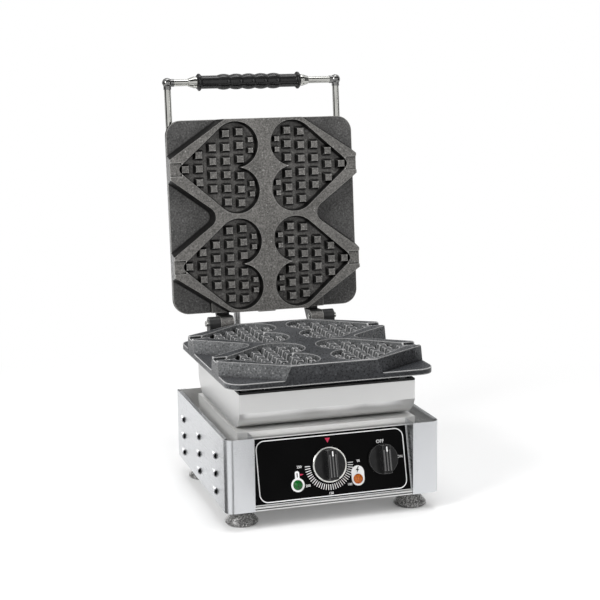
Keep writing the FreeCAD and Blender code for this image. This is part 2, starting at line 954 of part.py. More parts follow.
def heart_outline(inset):
    """One mould from above, drawn in by inset: lobes towards the plate's centre, tip outwards along X."""
    angle = d.tip_half_angle
    radius, tip_radius, nose_radius = d.lobe_radius - inset, d.tip_radius - inset, d.cleft_radius + inset
    touch_x = d.lobe_centre + radius * sine(angle)
    touch_y = lobe_spread + radius * cosine(angle)
    tip = touch_x + touch_y / tangent(angle)
    tip_x = tip - tip_radius / sine(angle) + tip_radius * sine(angle)
    tip_y = tip_radius * cosine(angle)
    reach = d.lobe_radius + d.cleft_radius
    back = root(reach * reach - lobe_spread * lobe_spread)
    nose_x = d.lobe_centre - back * radius / reach
    nose_y = lobe_spread - lobe_spread * radius / reach
    row = plate_y + mould_row
    return [
        (tip_x, row - tip_y),
        (tip_x, row + tip_y, tip_radius, 1),
        (touch_x, row + touch_y),
        (nose_x, row + nose_y, radius, 1, True),
        (nose_x, row - nose_y, nose_radius, -1),
        (touch_x, row - touch_y, radius, 1, True),
    ]


def heart_mould():
    """The hollow of one mould, narrowing to its floor, as a solid to cut away."""
    inset = d.mould_depth * tangent(d.mould_draft)
    levels = ((face, ZERO), (face - d.mould_depth, inset))
    return lofted([level_sketch(height, heart_outline(step)) for height, step in levels])


def peg(x, y, base, top):
    """A peg that narrows from the mould's floor, which it is rooted in, to its top."""
    wedge = doc.addObject("Part::Wedge", "Peg")
    wedge.Placement = FreeCAD.Placement(Vector(), FreeCAD.Rotation(X_AXIS, 90))
    for prop, size in {
        "Xmin": -base / 2,
        "Xmax": base / 2,
        "Zmin": -base / 2,
        "Zmax": base / 2,
        "X2min": -top / 2,
        "X2max": top / 2,
        "Z2min": -top / 2,
        "Z2max": top / 2,
        "Ymin": ZERO,
        "Ymax": d.peg_height + d.peg_root,
    }.items():
        bind(wedge, prop, size)
    at = (x, plate_y + mould_row + y, face - d.mould_depth - d.peg_root)
    for letter, size in zip("xyz", at):
        bind(wedge, f"Placement.Base.{letter}", size)
    return wedge


def heart_pegs():
    """The pegs of one mould: columns across its axis, and a column of small ones in the lobes."""
    pegs = []
    for column, count in enumerate(PEG_COLUMNS):
        x = d.first_peg - d.peg_pitch_x * column
        last = column == len(PEG_COLUMNS) - 1
        for i in range(count):
            place_in_column = i - (count - 1) / 2
            spread = math.copysign(1, place_in_column) if last else 0
            y = d.peg_pitch_y * place_in_column + d.middle_gap * spread
            pegs.append(peg(x, y, d.peg_base, d.peg_top))
    for side in (-1, 1):
        for step in (0, 1):
            y = (d.small_peg_y + d.small_peg_pitch * step) * side
            pegs.append(peg(d.small_peg_x, y, d.small_peg_base, d.small_peg_top))
    return fuse(*pegs)


def four_ways(shape):
    """A shape of the rear right mould, with its mirror images for the other three."""
    left = mirrored(shape, X_AXIS)
    across = [front_mirror(each) for each in (shape, left)]
    return [shape, left, *across]


def front_mirror(shape):
    copy = mirrored(shape, Vector(0, 1, 0))
    bind(copy, "Base.y", plate_y)
    return copy


def block_outline(flare):
    """The raised block from above, its sloping walls moved out by flare.

    Its front and back edges are straight, it has four blunt tips, and a rounded valley on each side.
    """
    shoulder, valley = d.lobe_centre + d.shoulder, d.lobe_centre + d.valley
    near, far = mould_row - d.tip_half_width, mould_row + d.tip_half_width
    run, fall = plate_half_x - shoulder, plate_half_y - far
    slope = root(run * run + fall * fall)
    valley_run = plate_half_x - valley
    valley_slope = root(valley_run * valley_run + near * near)
    touch = (d.valley_radius - flare) * valley_run / near
    touch_x = valley + (flare * valley_slope / near) + touch * valley_run / valley_slope
    touch_y = touch * near / valley_slope
    quarter = [
        (shoulder + flare * slope / fall, plate_half_y),
        (plate_half_x, far + flare * slope / run),
        (plate_half_x, near - flare * valley_slope / valley_run),
    ]
    right = [
        *((x, plate_y + y) for x, y in quarter),
        (touch_x, plate_y + touch_y),
        (touch_x, plate_y - touch_y, d.valley_radius - flare, 1),
        *((x, plate_y - y) for x, y in reversed(quarter)),
    ]
    left = [(-x, plate_y * 2 - y, *arc) for x, y, *arc in right]
    return right + left


def lofted(sections):
    """A solid ruled between sketches."""
    loft = doc.addObject("Part::Loft", "Loft")
    loft.Sections = sections
    loft.Solid = True
    loft.Ruled = True
    return loft


def level_sketch(height, outline):
    sketch = doc.addObject("Sketcher::SketchObject", "Section")
    bind(sketch, "Placement.Base.z", height)
    draw(sketch, outline)
    return sketch


def baking_casting():
    """Slab, raised block, four moulds with their pegs and a stick slot at each tip, baking face up."""
    low = (-plate_half_x, plate_y - plate_half_y)
    high = (plate_half_x, plate_rear)
    slab = padded("XY", rounded_rectangle(low, high, d.slab_radius), slab_low, slab_top)
    root_level = slab_low + d.slab_thickness / 2
    flare = (face - root_level) * tangent(d.block_draft)
    levels = ((face, ZERO), (root_level, flare))
    block = lofted([level_sketch(height, block_outline(step)) for height, step in levels])
    slot = box(
        (mould_tip - d.tip_radius, plate_y + mould_row - d.stick_width / 2, face - d.stick_depth),
        (plate_half_x + past, plate_y + mould_row + d.stick_width / 2, face + past),
    )
    hollow = cut(fuse(slab, block), *four_ways(heart_mould()), *four_ways(slot))
    return fuse(hollow, *four_ways(heart_pegs()))


def clamp_screw_places():
    return [(d.clamp_screw_x * i, plate_y + d.clamp_screw_y * j) for i in (-1, 1) for j in (-1, 1)]


def clamp_screw_holes(start, length):
    bore = d.screw_radius + d.press_gap
    return [rod((x, y, start), "z", bore, length) for x, y in clamp_screw_places()]


def lower_plate(casting):
    """The casting with the skirt that stands on the housing's flange and the clamp screws' blind holes."""
    edge, front, rear = d.skirt_half_width, housing_front + d.skirt_inset, housing_rear - d.skirt_inset
    wall = d.skirt_wall
    outer = box((-edge, front, housing_top), (edge, rear, slab_low))
    inner = box((wall - edge, front + wall, housing_top - past), (edge - wall, rear - wall, slab_low))
    holes = clamp_screw_holes(slab_low - past, d.thread_depth + past)
    return cut(fuse(casting, cut(outer, inner)), *holes)


def lug(side):
    """Hinge lug that grows from the upper slab's rear edge down to its knuckle."""
    radius = d.knuckle_radius
    start = plate_rear - d.lug_root
    outline = [
        (hinge_y - radius, parting),
        (hinge_y, parting - radius, radius, 1),
        (hinge_y + radius, parting, radius, 1),
        (hinge_y + radius, parting + radius),
        (plate_rear, lid_slab_back),
        (start, lid_slab_back),
        (start, lid_slab_front),
        (hinge_y - radius, lid_slab_front),
    ]
    edges = sorted((d.lug_inner * side, (d.lug_inner + d.lug_width) * side), key=lambda size: size.value)
    return padded("YZ", outline, *edges)


def cover_screw_places():
    inset = d.cover_radius
    return [(x * (cover_half - inset), y) for x in (-1, 1) for y in (cover_front + inset, cover_rear - inset)]


def lug_pad(side):
    """Raised pad on the slab beside a lug."""
    edges = sorted((d.lug_inner * side, (d.lug_inner + d.pad_width) * side), key=lambda size: size.value)
    low = (edges[0], plate_rear - d.pad_depth, lid_slab_front - d.pad_rise)
    return box(low, (edges[1], plate_rear, lid_slab_back))


def upper_plate(casting):
    """The casting turned face down, with both hinge lugs, a rear boss and blind holes for its screws."""
    turned_over = mirrored(casting, Vector(0, 0, 1), parting)
    boss = box(
        (-d.boss_half_width, plate_rear - past, lid_slab_front),
        (d.boss_half_width, plate_rear + d.boss_reach, lid_slab_back),
    )
    lugs = [shape(side) for shape in (lug, lug_pad) for side in (-1, 1)]
    bore = rod((-leg_x, hinge_y, parting), "x", d.pin_radius + d.running_gap, leg_x * 2)
    start, length = lid_slab_back - d.thread_depth, d.thread_depth + past
    cover_bore = d.small_screw_radius + d.press_gap
    cover_holes = [rod((x, y, start), "z", cover_bore, length) for x, y in cover_screw_places()]
    return cut(fuse(turned_over, boss, *lugs), bore, *clamp_screw_holes(start, length), *cover_holes)


# hinge, fixed side


def ear_edges(side):
    near = d.lug_inner + d.lug_width + d.ear_gap
    return sorted((near * side, (near + d.ear_width) * side), key=lambda size: size.value)


def hinge_bracket(side):
    """Bracket on the housing's rear wall that passes under the slab and rises to the hinge axis."""
    radius = d.knuckle_radius
    gap = d.bracket_gap
    outline = [
        (hinge_y + radius, parting),
        (hinge_y, parting + radius, radius, 1),
        (hinge_y - radius, parting, radius, 1),
        (hinge_y - radius, slab_low - gap),
        (housing_rear, housing_top - gap),
        (housing_rear, housing_low + d.housing_curve_height + gap),
        (hinge_y, housing_top + gap),
        (hinge_y + radius, slab_low),
    ]
    solid = padded("YZ", outline, *ear_edges(side))
    low, high = ear_edges(side)
    pin_bore = rod((low - past, hinge_y, parting), "x", d.pin_radius + d.press_gap, high - low + past * 2)
    depth = d.bracket_thread + d.contact_gap
    bore = d.small_screw_radius + d.press_gap
    screws = [
        rod((x, housing_rear, z), "y", bore, depth) for x, z in bracket_screw_places() if x.value * side > 0
    ]
    return cut(solid, pin_bore, *screws)


def hinge_pin(side):
    chamfer = d.pin_chamfer
    inner = d.lug_inner - d.pin_inner_reach
    outer = d.lug_inner + d.lug_width + d.ear_gap + d.ear_width + d.pin_reach
    low, high = sorted((inner * side, outer * side), key=lambda size: size.value)
    return turned(
        [
            (low, ZERO),
            (high, ZERO),
            (high, d.pin_radius - chamfer),
            (high - chamfer, d.pin_radius),
            (low + chamfer, d.pin_radius),
            (low, d.pin_radius - chamfer),
        ],
        "X",
    )


# heaters


def heater():
    """Tubular heater under the lower slab: four runs joined by three U-bends."""
    pitch, run = d.heater_pitch, d.heater_half_run
    bend = pitch / 2
    near, far = plate_y - run, plate_y + run
    path = [(pitch * -1.5, far), (pitch * -1.5, near)]
    for step, (level, way) in enumerate(((near, -1), (far, 1), (near, -1))):
        x = pitch * (step - 1.5)
        turn = 1 if way < 0 else -1
        path.append((x + bend, level + bend * way, bend, turn))
        path.append((x + pitch, level, bend, turn))
        path.append((x + pitch, far if way < 0 else near))
    height = slab_low - d.heater_radius - d.contact_gap
    return tube("XY", path, height, d.heater_radius, "y")


def clamp_levels():
    top = slab_low - d.heater_radius * 2 - d.contact_gap * 2
    return top - d.clamp_thickness, top


def heater_clamp():
    low, top = clamp_levels()
    width, depth = d.clamp_half_width, d.clamp_half_depth
    plate = box((-width, plate_y - depth, low), (width, plate_y + depth, top))
    return cut(plate, *clamp_screw_holes(low - past, d.clamp_thickness + past * 2))


def clamp_screws():
    low = clamp_levels()[0]
    length = slab_low - low + d.thread_depth - d.thread_play
    return group(
        *(screw((x, y, low - d.screw_head_height), "z", d.screw_radius, length) for x, y in clamp_screw_places())
    )


def lower_insulation():
    """Insulation board on the housing's floor, open over the wire way."""
    low = housing_low + d.sheet
    edge, front, rear = gasket_edges()
    board = box((-edge, front, low), (edge, rear, low + d.insulation_thickness))
    return cut(board, wire_way(housing_low, housing_top))


def upper_insulation():
    margin = d.insulation_margin
    low = lid_slab_back + (slab_low - clamp_levels()[0]) + d.screw_head_height + d.contact_gap
    high = cover_back - d.sheet
    return box((margin - cover_half, cover_front + margin, low), (cover_half - margin, cover_rear - margin, high))


def capillary_rise():
    """Where the capillary climbs through the wire way."""
    return gasket_edges()[1] + d.wire_way_setback + d.capillary_bend


def thermostat_bulb():
    """Capillary from the thermostat's back up through the neck to the bulb under the heater clamp."""
    bend = d.capillary_bend
    back = panel_point(ZERO, d.control_height, -d.sheet - d.control_depth)
    start_y, start_z = back[1] + d.capillary_gap, back[2]
    rise = capillary_rise()
    bulb_z = clamp_levels()[0] - d.bulb_radius - d.contact_gap
    path = [
        (start_y, start_z),
        (rise - bend, start_z),
        (rise, start_z + bend, bend, 1),
        (rise, bulb_z - bend),
        (rise + bend, bulb_z, bend, -1),
        (rise + bend * 2, bulb_z),
    ]
    line = tube("YZ", path, d.thermostat_x, d.capillary_radius, "y")
    bulb = rod((d.thermostat_x, rise + bend * 1.5, bulb_z), "y", d.bulb_radius, d.bulb_length)
    return fuse(line, bulb)


# lid cover and handle, drawn shut


def lid_cover():
    """Steel cover over the upper heater, open towards the plate."""
    skin = d.sheet
    outer = rounded_rectangle((-cover_half, cover_front), (cover_half, cover_rear), d.cover_radius)
    inner = rounded_rectangle(
        (skin - cover_half, cover_front + skin), (cover_half - skin, cover_rear - skin), d.cover_radius - skin
    )
    shell = cut(
        padded("XY", outer, lid_slab_back, cover_back),
        padded("XY", inner, lid_slab_back - past, cover_back - skin),
    )
    bore = d.small_screw_radius + d.hole_gap
    holes = [rod((x, y, cover_back - skin - past), "z", bore, skin + past * 2) for x, y in cover_screw_places()]
    gland_bore = d.gland_thread + d.hole_gap
    gland_hole = rod((d.conduit_x, cover_rear - skin - past, bar_z), "y", gland_bore, skin + past * 2)
    return cut(shell, *holes, gland_hole)


def cover_screws():
    start = lid_slab_back - d.thread_depth + d.thread_play
    length = cover_back - start
    return group(
        *(screw((x, y, start), "z", d.small_screw_radius, length, False) for x, y in cover_screw_places())
    )


def handle_leg(side):
    start = bar_y + d.rod_stop + d.press_gap
    end = plate_y - plate_half_y + d.leg_overlap
    return rod((leg_x * side, start, bar_z), "y", d.rod_radius, end - start)


def leg_saddles():
    """Blocks on the cover's sides that hold the handle's legs."""
    blocks = []
    reach = leg_x + d.saddle_lip
    for side in (-1, 1):
        for step in (0, 1):
            y = plate_y - plate_half_y + d.saddle_first + d.saddle_pitch * step
            edges = sorted((cover_half * side, reach * side), key=lambda size: size.value)
            low, high = bar_z - d.saddle_height / 2, bar_z + d.saddle_height / 2
            block = box((edges[0], y, low), (edges[1], y + d.saddle_length, high))
            blocks.append(cut(block, rod((leg_x * side, y - past, bar_z), "y", rod_bore, d.saddle_length + past * 2)))
    return group(*blocks)


def handle_elbow(side):
    """Ball fitting with a socket for the leg and one for the bar, drawn about the ball's centre."""
    inward = -side
    ball, socket, length, stop = d.elbow_radius, d.socket_radius, d.socket_length, d.rod_stop
    seat = root(ball * ball - socket * socket)
    ball_and_socket = turned(
        [
            (ball * side, ZERO),
            (seat * inward, -socket, ball, inward),
            (length * inward, -socket),
            (length * inward, ZERO),
        ],
        "X",
    )
    bar_bore = sorted((stop * inward, length * inward), key=lambda size: size.value)
    return cut(
        fuse(ball_and_socket, rod((ZERO, ZERO, ZERO), "y", socket, length)),
        rod((ZERO, stop, ZERO), "y", rod_bore, length),
        rod((bar_bore[0], ZERO, ZERO), "x", rod_bore, length - stop),
    )


def handle_bar():
    reach = leg_x - d.rod_stop - d.press_gap
    return rod((-reach, bar_y, bar_z), "x", d.rod_radius, reach * 2)


def grip_profile():
    """Half section of the finger grip, from its left end: flange, plain stretch, waves, plain stretch and flange."""
    end, body, rim = d.grip_half_length, d.grip_radius, d.grip_flange_radius
    flange, slope = d.grip_flange_width, d.grip_flange_width / 2
    waves_half = d.grip_wave_pitch * (GRIP_WAVES / 2)
    points = [
        (-end, rod_bore),
        (end, rod_bore),
        (end, body),
        (end - slope, rim),
        (end - flange, rim),
        (end - flange - slope, body),
        (waves_half, body),
    ]
    for wave in range(1, GRIP_WAVES + 1):
        points.append((waves_half - d.grip_wave_pitch * wave, body, d.grip_wave_radius, 1))
    points += [
        (slope + flange - end, body),
        (flange - end, rim),
        (slope - end, rim),
        (-end, body),
    ]
    return points


def ferrule(side):
    """Conical collar between the bar and the grip's end, drawn about the bar's axis."""
    wide = (d.grip_half_length + d.contact_gap) * side
    narrow = wide + d.ferrule_length * side
    return turned(
        [
            (wide, rod_bore),
            (wide, d.ferrule_radius),
            (wide + d.ferrule_length * side / 3, d.ferrule_radius),
            (narrow, d.ferrule_tip_radius),
            (narrow, rod_bore),
        ],
        "X",
    )


def handle_pieces():
    for name, side in (("left", -1), ("right", 1)):
        on_lid(handle_leg(side), f"handle_leg_{name}")
        on_lid(handle_elbow(side), f"handle_elbow_{name}", (leg_x * side, bar_y, bar_z))
        on_lid(ferrule(side), f"ferrule_{name}", (d.grip_offset, bar_y, bar_z))
    on_lid(handle_bar(), "handle_bar")
    on_lid(turned(grip_profile(), "X"), "handle_grip", (d.grip_offset, bar_y, bar_z))
    on_lid(leg_saddles(), "leg_saddles")


# glands and conduit


def gland(bore, wall, length):
    """Gland along Y through a wall whose outer face is at Y = 0: collar outside, thread through, nut inside."""
    collar = rod((ZERO, ZERO, ZERO), "y", d.gland_flange, length)
    thread = rod((ZERO, -wall - d.gland_nut, ZERO), "y", d.gland_thread, wall + d.gland_nut)
    nut = rod((ZERO, -wall - d.gland_nut, ZERO), "y", d.gland_flange, d.gland_nut)
    way = rod((ZERO, -wall - d.gland_nut - past, ZERO), "y", bore, wall + d.gland_nut + length + past * 2)
    return cut(fuse(collar, thread, nut), way)


def conduit():
    """Metal conduit from the base's rear gland, bending up to the gland on the open lid, as tightly as the room asks."""
    angle = 180 - d.open_angle
    wall = d.base_depth - d.sheet
    start_y = wall + d.gland_length - d.conduit_grip
    _, end_y, end_z = lid_point(d.conduit_x, cover_rear + d.gland_length - d.conduit_grip, bar_z)
    room = end_y - (end_z - d.conduit_height) / tangent(angle) - start_y - d.conduit_radius
    bend = smaller(d.conduit_bend, room / (sine(angle) - (1 - cosine(angle)) / tangent(angle)))
    rise_z = d.conduit_height + bend * (1 - cosine(angle))
    run = (end_z - rise_z) / tangent(angle)
    rise_y = end_y - run
    path = [
        (start_y, d.conduit_height),
        (rise_y - bend * sine(angle), d.conduit_height),
        (rise_y, rise_z, bend, 1),
        (end_y, end_z),
    ]
    return tube("YZ", path, d.conduit_x, d.conduit_radius, "y")


# feet and fasteners


def foot():
    """Flared foot with a countersunk bore for its screw, drawn about its own axis."""
    bore = d.screw_radius + d.press_gap
    well = d.screw_radius + d.screw_head + d.hole_gap
    rim, edge, neck, collar = d.foot_radius, d.foot_edge, d.foot_neck_radius, d.foot_top_radius
    return turned(
        [
            (well, ZERO),
            (rim - edge, ZERO),
            (rim, edge),
            (rim, edge * 2),
            (neck + edge, d.foot_waist),
            (neck, d.foot_neck),
            (collar, d.foot_height - d.foot_collar),
            (collar, d.foot_height),
            (bore, d.foot_height),
            (bore, d.foot_well),
            (well, d.foot_well),
        ]
    )


def foot_screws():
    start = d.foot_well - d.screw_head_height
    length = pan_top + d.screw_radius * 2 - d.foot_well
    return group(*(screw((x, y, start), "z", d.screw_radius, length) for x, y in foot_places().values()))


def bracket_screws():
    start = housing_rear - d.sheet - d.screw_head_height
    return group(
        *(
            screw((x, start, z), "y", d.small_screw_radius, d.sheet + d.bracket_thread)
            for x, z in bracket_screw_places()
        )
    )


def terminal_block():
    reach, depth = d.terminal_width / 2, d.terminal_depth
    low = (d.green_lamp_x - reach, plate_y + depth, pan_top)
    high = (d.green_lamp_x + reach, plate_y + depth * 2, pan_top + d.terminal_height)
    return box(low, high)


def build():
    for name, side in (("left", -1), ("right", 1)):
        on_base(side_panel(side), f"{name}_side_panel")
        on_base(hinge_bracket(side), f"hinge_bracket_{name}")
        on_base(hinge_pin(side), f"hinge_pin_{name}", (ZERO, hinge_y, parting))
    on_base(base_pan(), "base_pan")
    on_base(rear_panel(), "rear_panel")
    on_base(deck_tray(), "deck_tray")
    on_base(neck_box(), "neck_box")
    on_base(thermal_gasket(), "thermal_gasket")
    on_base(plate_housing(), "plate_housing")
    on_base(rim_gasket(), "rim_gasket")
    on_base(lower_insulation(), "lower_insulation")
    on_base(thermostat_bulb(), "thermostat_bulb")
    on_base(bracket_screws(), "bracket_screws")
    on_base(foot_screws(), "foot_screws")
    on_base(terminal_block(), "terminal_block")
    for name, (x, y) in foot_places().items():
        on_base(foot(), f"foot_{name}", (x, y, ZERO))
    rear_wall = d.base_depth - d.sheet
    on_base(gland(d.mains_bore, d.sheet, d.gland_length), "mains_gland", (d.mains_x, rear_wall, d.conduit_height))
    conduit_bore = d.conduit_radius + d.press_gap
    on_base(
        gland(conduit_bore, d.sheet, d.gland_length),
        "conduit_gland_lower",
        (d.conduit_x, rear_wall, d.conduit_height),
    )
    on_lid(gland(conduit_bore, d.sheet, d.gland_length), "conduit_gland_upper", (d.conduit_x, cover_rear, bar_z))
    on_base(conduit(), "conduit")
    panel_pieces()

    casting = baking_casting()
    on_base(lower_plate(casting), "lower_plate")
    on_lid(upper_plate(casting), "upper_plate")
    heating = {"heater": heater(), "heater_clamp": heater_clamp(), "clamp_screws": clamp_screws()}
    for name, piece in heating.items():
        on_lid(mirrored(piece, Vector(0, 0, 1), parting), f"upper_{name}")
        on_base(piece, f"lower_{name}")
    on_lid(upper_insulation(), "upper_insulation")
    on_lid(lid_cover(), "lid_cover")
    on_lid(cover_screws(), "cover_screws")
    handle_pieces()


def check():
    """Stops if an object failed or a sub-part is missing, empty or invalid."""
    failed = [o.Label for o in doc.Objects if {"Invalid", "Error"} & set(o.State)]
    wrong = [o.Label for o in parts if o.Shape.isNull() or not o.Shape.isValid() or not o.Shape.Solids]
    if failed or wrong:
        raise RuntimeError(f"failed objects {failed}, faulty sub-parts {wrong}")


def write():
    os.makedirs("parts", exist_ok=True)
    for piece in parts:
        piece.Shape.exportStep(f"parts/{piece.Label}.step")
    box_all = Part.makeCompound([piece.Shape for piece in parts]).BoundBox
    print(len(parts), "sub-parts, box", box_all)


build()
doc.recompute()
check()
write()
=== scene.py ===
"""Looks of a counter-top waffle iron with four heart moulds in each plate.

Finishes for every node, the conduit's hose, the control panel's print, the light and the camera.
"""

import logging
import math
from collections.abc import Sequence
from dataclasses import dataclass, field
from enum import Enum
from typing import ClassVar

import bpy
from mathutils import Matrix, Vector


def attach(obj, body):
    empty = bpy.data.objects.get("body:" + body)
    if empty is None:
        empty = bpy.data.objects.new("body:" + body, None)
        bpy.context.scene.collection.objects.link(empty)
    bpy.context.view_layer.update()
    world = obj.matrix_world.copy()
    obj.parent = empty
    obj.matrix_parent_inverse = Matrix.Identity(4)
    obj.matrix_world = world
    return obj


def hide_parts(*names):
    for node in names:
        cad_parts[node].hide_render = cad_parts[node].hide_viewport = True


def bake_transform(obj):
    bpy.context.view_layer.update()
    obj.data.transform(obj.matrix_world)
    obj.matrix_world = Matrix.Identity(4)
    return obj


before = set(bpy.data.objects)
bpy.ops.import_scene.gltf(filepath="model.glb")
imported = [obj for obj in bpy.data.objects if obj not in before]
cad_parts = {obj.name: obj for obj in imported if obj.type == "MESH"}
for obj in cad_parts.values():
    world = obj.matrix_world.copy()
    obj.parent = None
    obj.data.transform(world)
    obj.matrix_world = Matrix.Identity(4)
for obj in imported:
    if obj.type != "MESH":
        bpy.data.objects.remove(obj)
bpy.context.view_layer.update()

MM = 0.001
LOG = logging.getLogger("waffle_iron")
MADE: dict[str, bpy.types.Material] = {}

Colour = tuple[float, float, float]
Point = tuple[float, float, float]
Pair = tuple[float, float]
Socket = bpy.types.NodeSocket
Piece = bpy.types.Object

WHITE: Colour = (1.0, 1.0, 1.0)
BLACK: Colour = (0.0, 0.0, 0.0)
BACKWARD: Point = (0.0, 1.0, 0.0)
STREAK = 0.012


def grey(level: float) -> Colour:
    """A colour without a hue."""
    return (level, level, level)


class Body(str, Enum):
    """The bodies that pieces ride on."""

    BASE = "base"
    LID = "lid"
    THERMOSTAT = "thermostat_dial"
    SWITCH = "switch_dial"


class Slot(str, Enum):
    """The slot names passed along with new pieces, which nothing reads."""

    STEEL = "bright_steel"
    CASE = "moulded_case"
    FILM = "panel_black"
    KNOB = "knob_black"


class Grain(Enum):
    """Which way a finish's marks run, as stretch factors along X, Y and Z."""

    EVEN = (1.0, 1.0, 1.0)
    LEVEL = (STREAK, STREAK, 1.0)
    ACROSS = (STREAK, 1.0, 1.0)
    DEEP = (1.0, STREAK, 1.0)


class Layer(Enum):
    """How one colour is laid over another."""

    SHADE = "MULTIPLY"
    LIGHTEN = "LIGHTEN"


class Measure(Enum):
    """What is measured along a way: how far the surface faces it, or the place in metres."""

    FACING = "Normal"
    PLACE = "Object"


class Tree:
    """A material's node tree, with short calls for its usual nodes."""

    shelter_samples: ClassVar[int] = 8

    def __init__(self, name: str) -> None:
        """Starts a material with one principled shader that reads Object coordinates.

        Args:
            name: The material's name.
        """
        self.material = bpy.data.materials.new(name)
        self.material.use_nodes = True
        self.nodes = self.material.node_tree.nodes
        self.links = self.material.node_tree.links
        self.shader = self.nodes["Principled BSDF"]
        self.coordinates = self.nodes.new("ShaderNodeTexCoord")
        self.place = self.coordinates.outputs["Object"]

    def mapped(self, stretch: Point) -> Socket:
        """Stretches the Object coordinates.

        Args:
            stretch: Factors along each axis.

        Returns:
            The stretched coordinates.
        """
        node = self.nodes.new("ShaderNodeMapping")
        node.inputs["Scale"].default_value = stretch
        self.links.new(self.place, node.inputs["Vector"])
        return node.outputs["Vector"]

    def noise(self, scale: float, detail: float = 4.0, stretch: Point = (1.0, 1.0, 1.0)) -> Socket:
        """Adds a noise pattern.

        Args:
            scale: Cells per metre.
            detail: How many finer layers it has.
            stretch: Factors along each axis.

        Returns:
            The pattern's grey value.
        """
        node = self.nodes.new("ShaderNodeTexNoise")
        node.inputs["Scale"].default_value = scale
        node.inputs["Detail"].default_value = detail
        self.links.new(self.mapped(stretch), node.inputs["Vector"])
        return node.outputs["Fac"]

    def cells(self, scale: float) -> Socket:
        """Adds a pattern of small facets.

        Args:
            scale: Facets per metre.

        Returns:
            The distance to the middle of the nearest facet.
        """
        node = self.nodes.new("ShaderNodeTexVoronoi")
        node.inputs["Scale"].default_value = scale
        self.links.new(self.place, node.inputs["Vector"])
        return node.outputs["Distance"]

    def ramp(
        self, value: Socket, dark: Colour, light: Colour, low: float = 0.3, high: float = 0.7
    ) -> Socket:
        """Turns a grey value into a colour between two.

        Args:
            value: The grey value.
            dark: The colour at and below low.
            light: The colour at and above high.
            low: Where the ramp starts.
            high: Where it ends.

        Returns:
            The colour.
        """
        node = self.nodes.new("ShaderNodeValToRGB")
        first, last = node.color_ramp.elements
        first.position, first.color = low, (*dark, 1.0)
        last.position, last.color = high, (*light, 1.0)
        self.links.new(value, node.inputs["Fac"])
        return node.outputs["Color"]

    def mix(self, layer: Layer, first: Socket, second: Socket) -> Socket:
        """Lays one colour over another.

        Args:
            layer: How they combine.
            first: The colour below.
            second: The colour on top.

        Returns:
            The combined colour.
        """
        node = self.nodes.new("ShaderNodeMixRGB")
        node.blend_type = layer.value
        node.inputs["Fac"].default_value = 1.0
        self.links.new(first, node.inputs["Color1"])
        self.links.new(second, node.inputs["Color2"])
        return node.outputs["Color"]

    def shelter(self, reach: float, inside: bool = False) -> Socket:
        """Finds how open the surface is round a point.

        Args:
            reach: How far it looks, in metres.
            inside: Looks into the piece, which finds its edges, not out of it, which finds its corners.

        Returns:
            1 in the open, less at an edge or in a corner.
        """
        node = self.nodes.new("ShaderNodeAmbientOcclusion")
        node.samples = self.shelter_samples
        node.inside = inside
        node.only_local = True
        node.inputs["Distance"].default_value = reach
        return node.outputs["AO"]

    def along(self, measure: Measure, way: Point) -> Socket:
        """Measures a surface point along a way.

        Args:
            measure: What is measured.
            way: The way, of length 1.

        Returns:
            The measure.
        """
        node = self.nodes.new("ShaderNodeVectorMath")
        node.operation = "DOT_PRODUCT"
        node.inputs[1].default_value = way
        self.links.new(self.coordinates.outputs[measure.value], node.inputs[0])
        return node.outputs["Value"]

    def span(self, value: Socket, low: float, high: float, within: Pair = (0.3, 0.7)) -> Socket:
        """Spreads part of a grey value over a range.

        Args:
            value: The grey value.
            low: The range's start.
            high: The range's end.
            within: The part of the value that is spread.

        Returns:
            The new value.
        """
        node = self.nodes.new("ShaderNodeMapRange")
        node.inputs["From Min"].default_value, node.inputs["From Max"].default_value = within
        node.inputs["To Min"].default_value = low
        node.inputs["To Max"].default_value = high
        self.links.new(value, node.inputs["Value"])
        return node.outputs["Result"]

    def relief(self, value: Socket, height: float, strength: float) -> None:
        """Raises the surface by a grey value.

        Args:
            value: The grey value.
            height: The greatest height, in metres.
            strength: How much of it shows.
        """
        node = self.nodes.new("ShaderNodeBump")
        node.inputs["Distance"].default_value = height
        node.inputs["Strength"].default_value = strength
        self.links.new(value, node.inputs["Height"])
        self.links.new(node.outputs["Normal"], self.shader.inputs["Normal"])

    def feed(self, value: Socket, socket: str) -> None:
        """Leads a pattern into one of the shader's sockets."""
        self.links.new(value, self.shader.inputs[socket])

    def fix(self, **values: float) -> None:
        """Sets plain numbers on the shader's own sockets, named with _ for a space."""
        for name, value in values.items():
            self.shader.inputs[name.replace("_", " ")].default_value = value


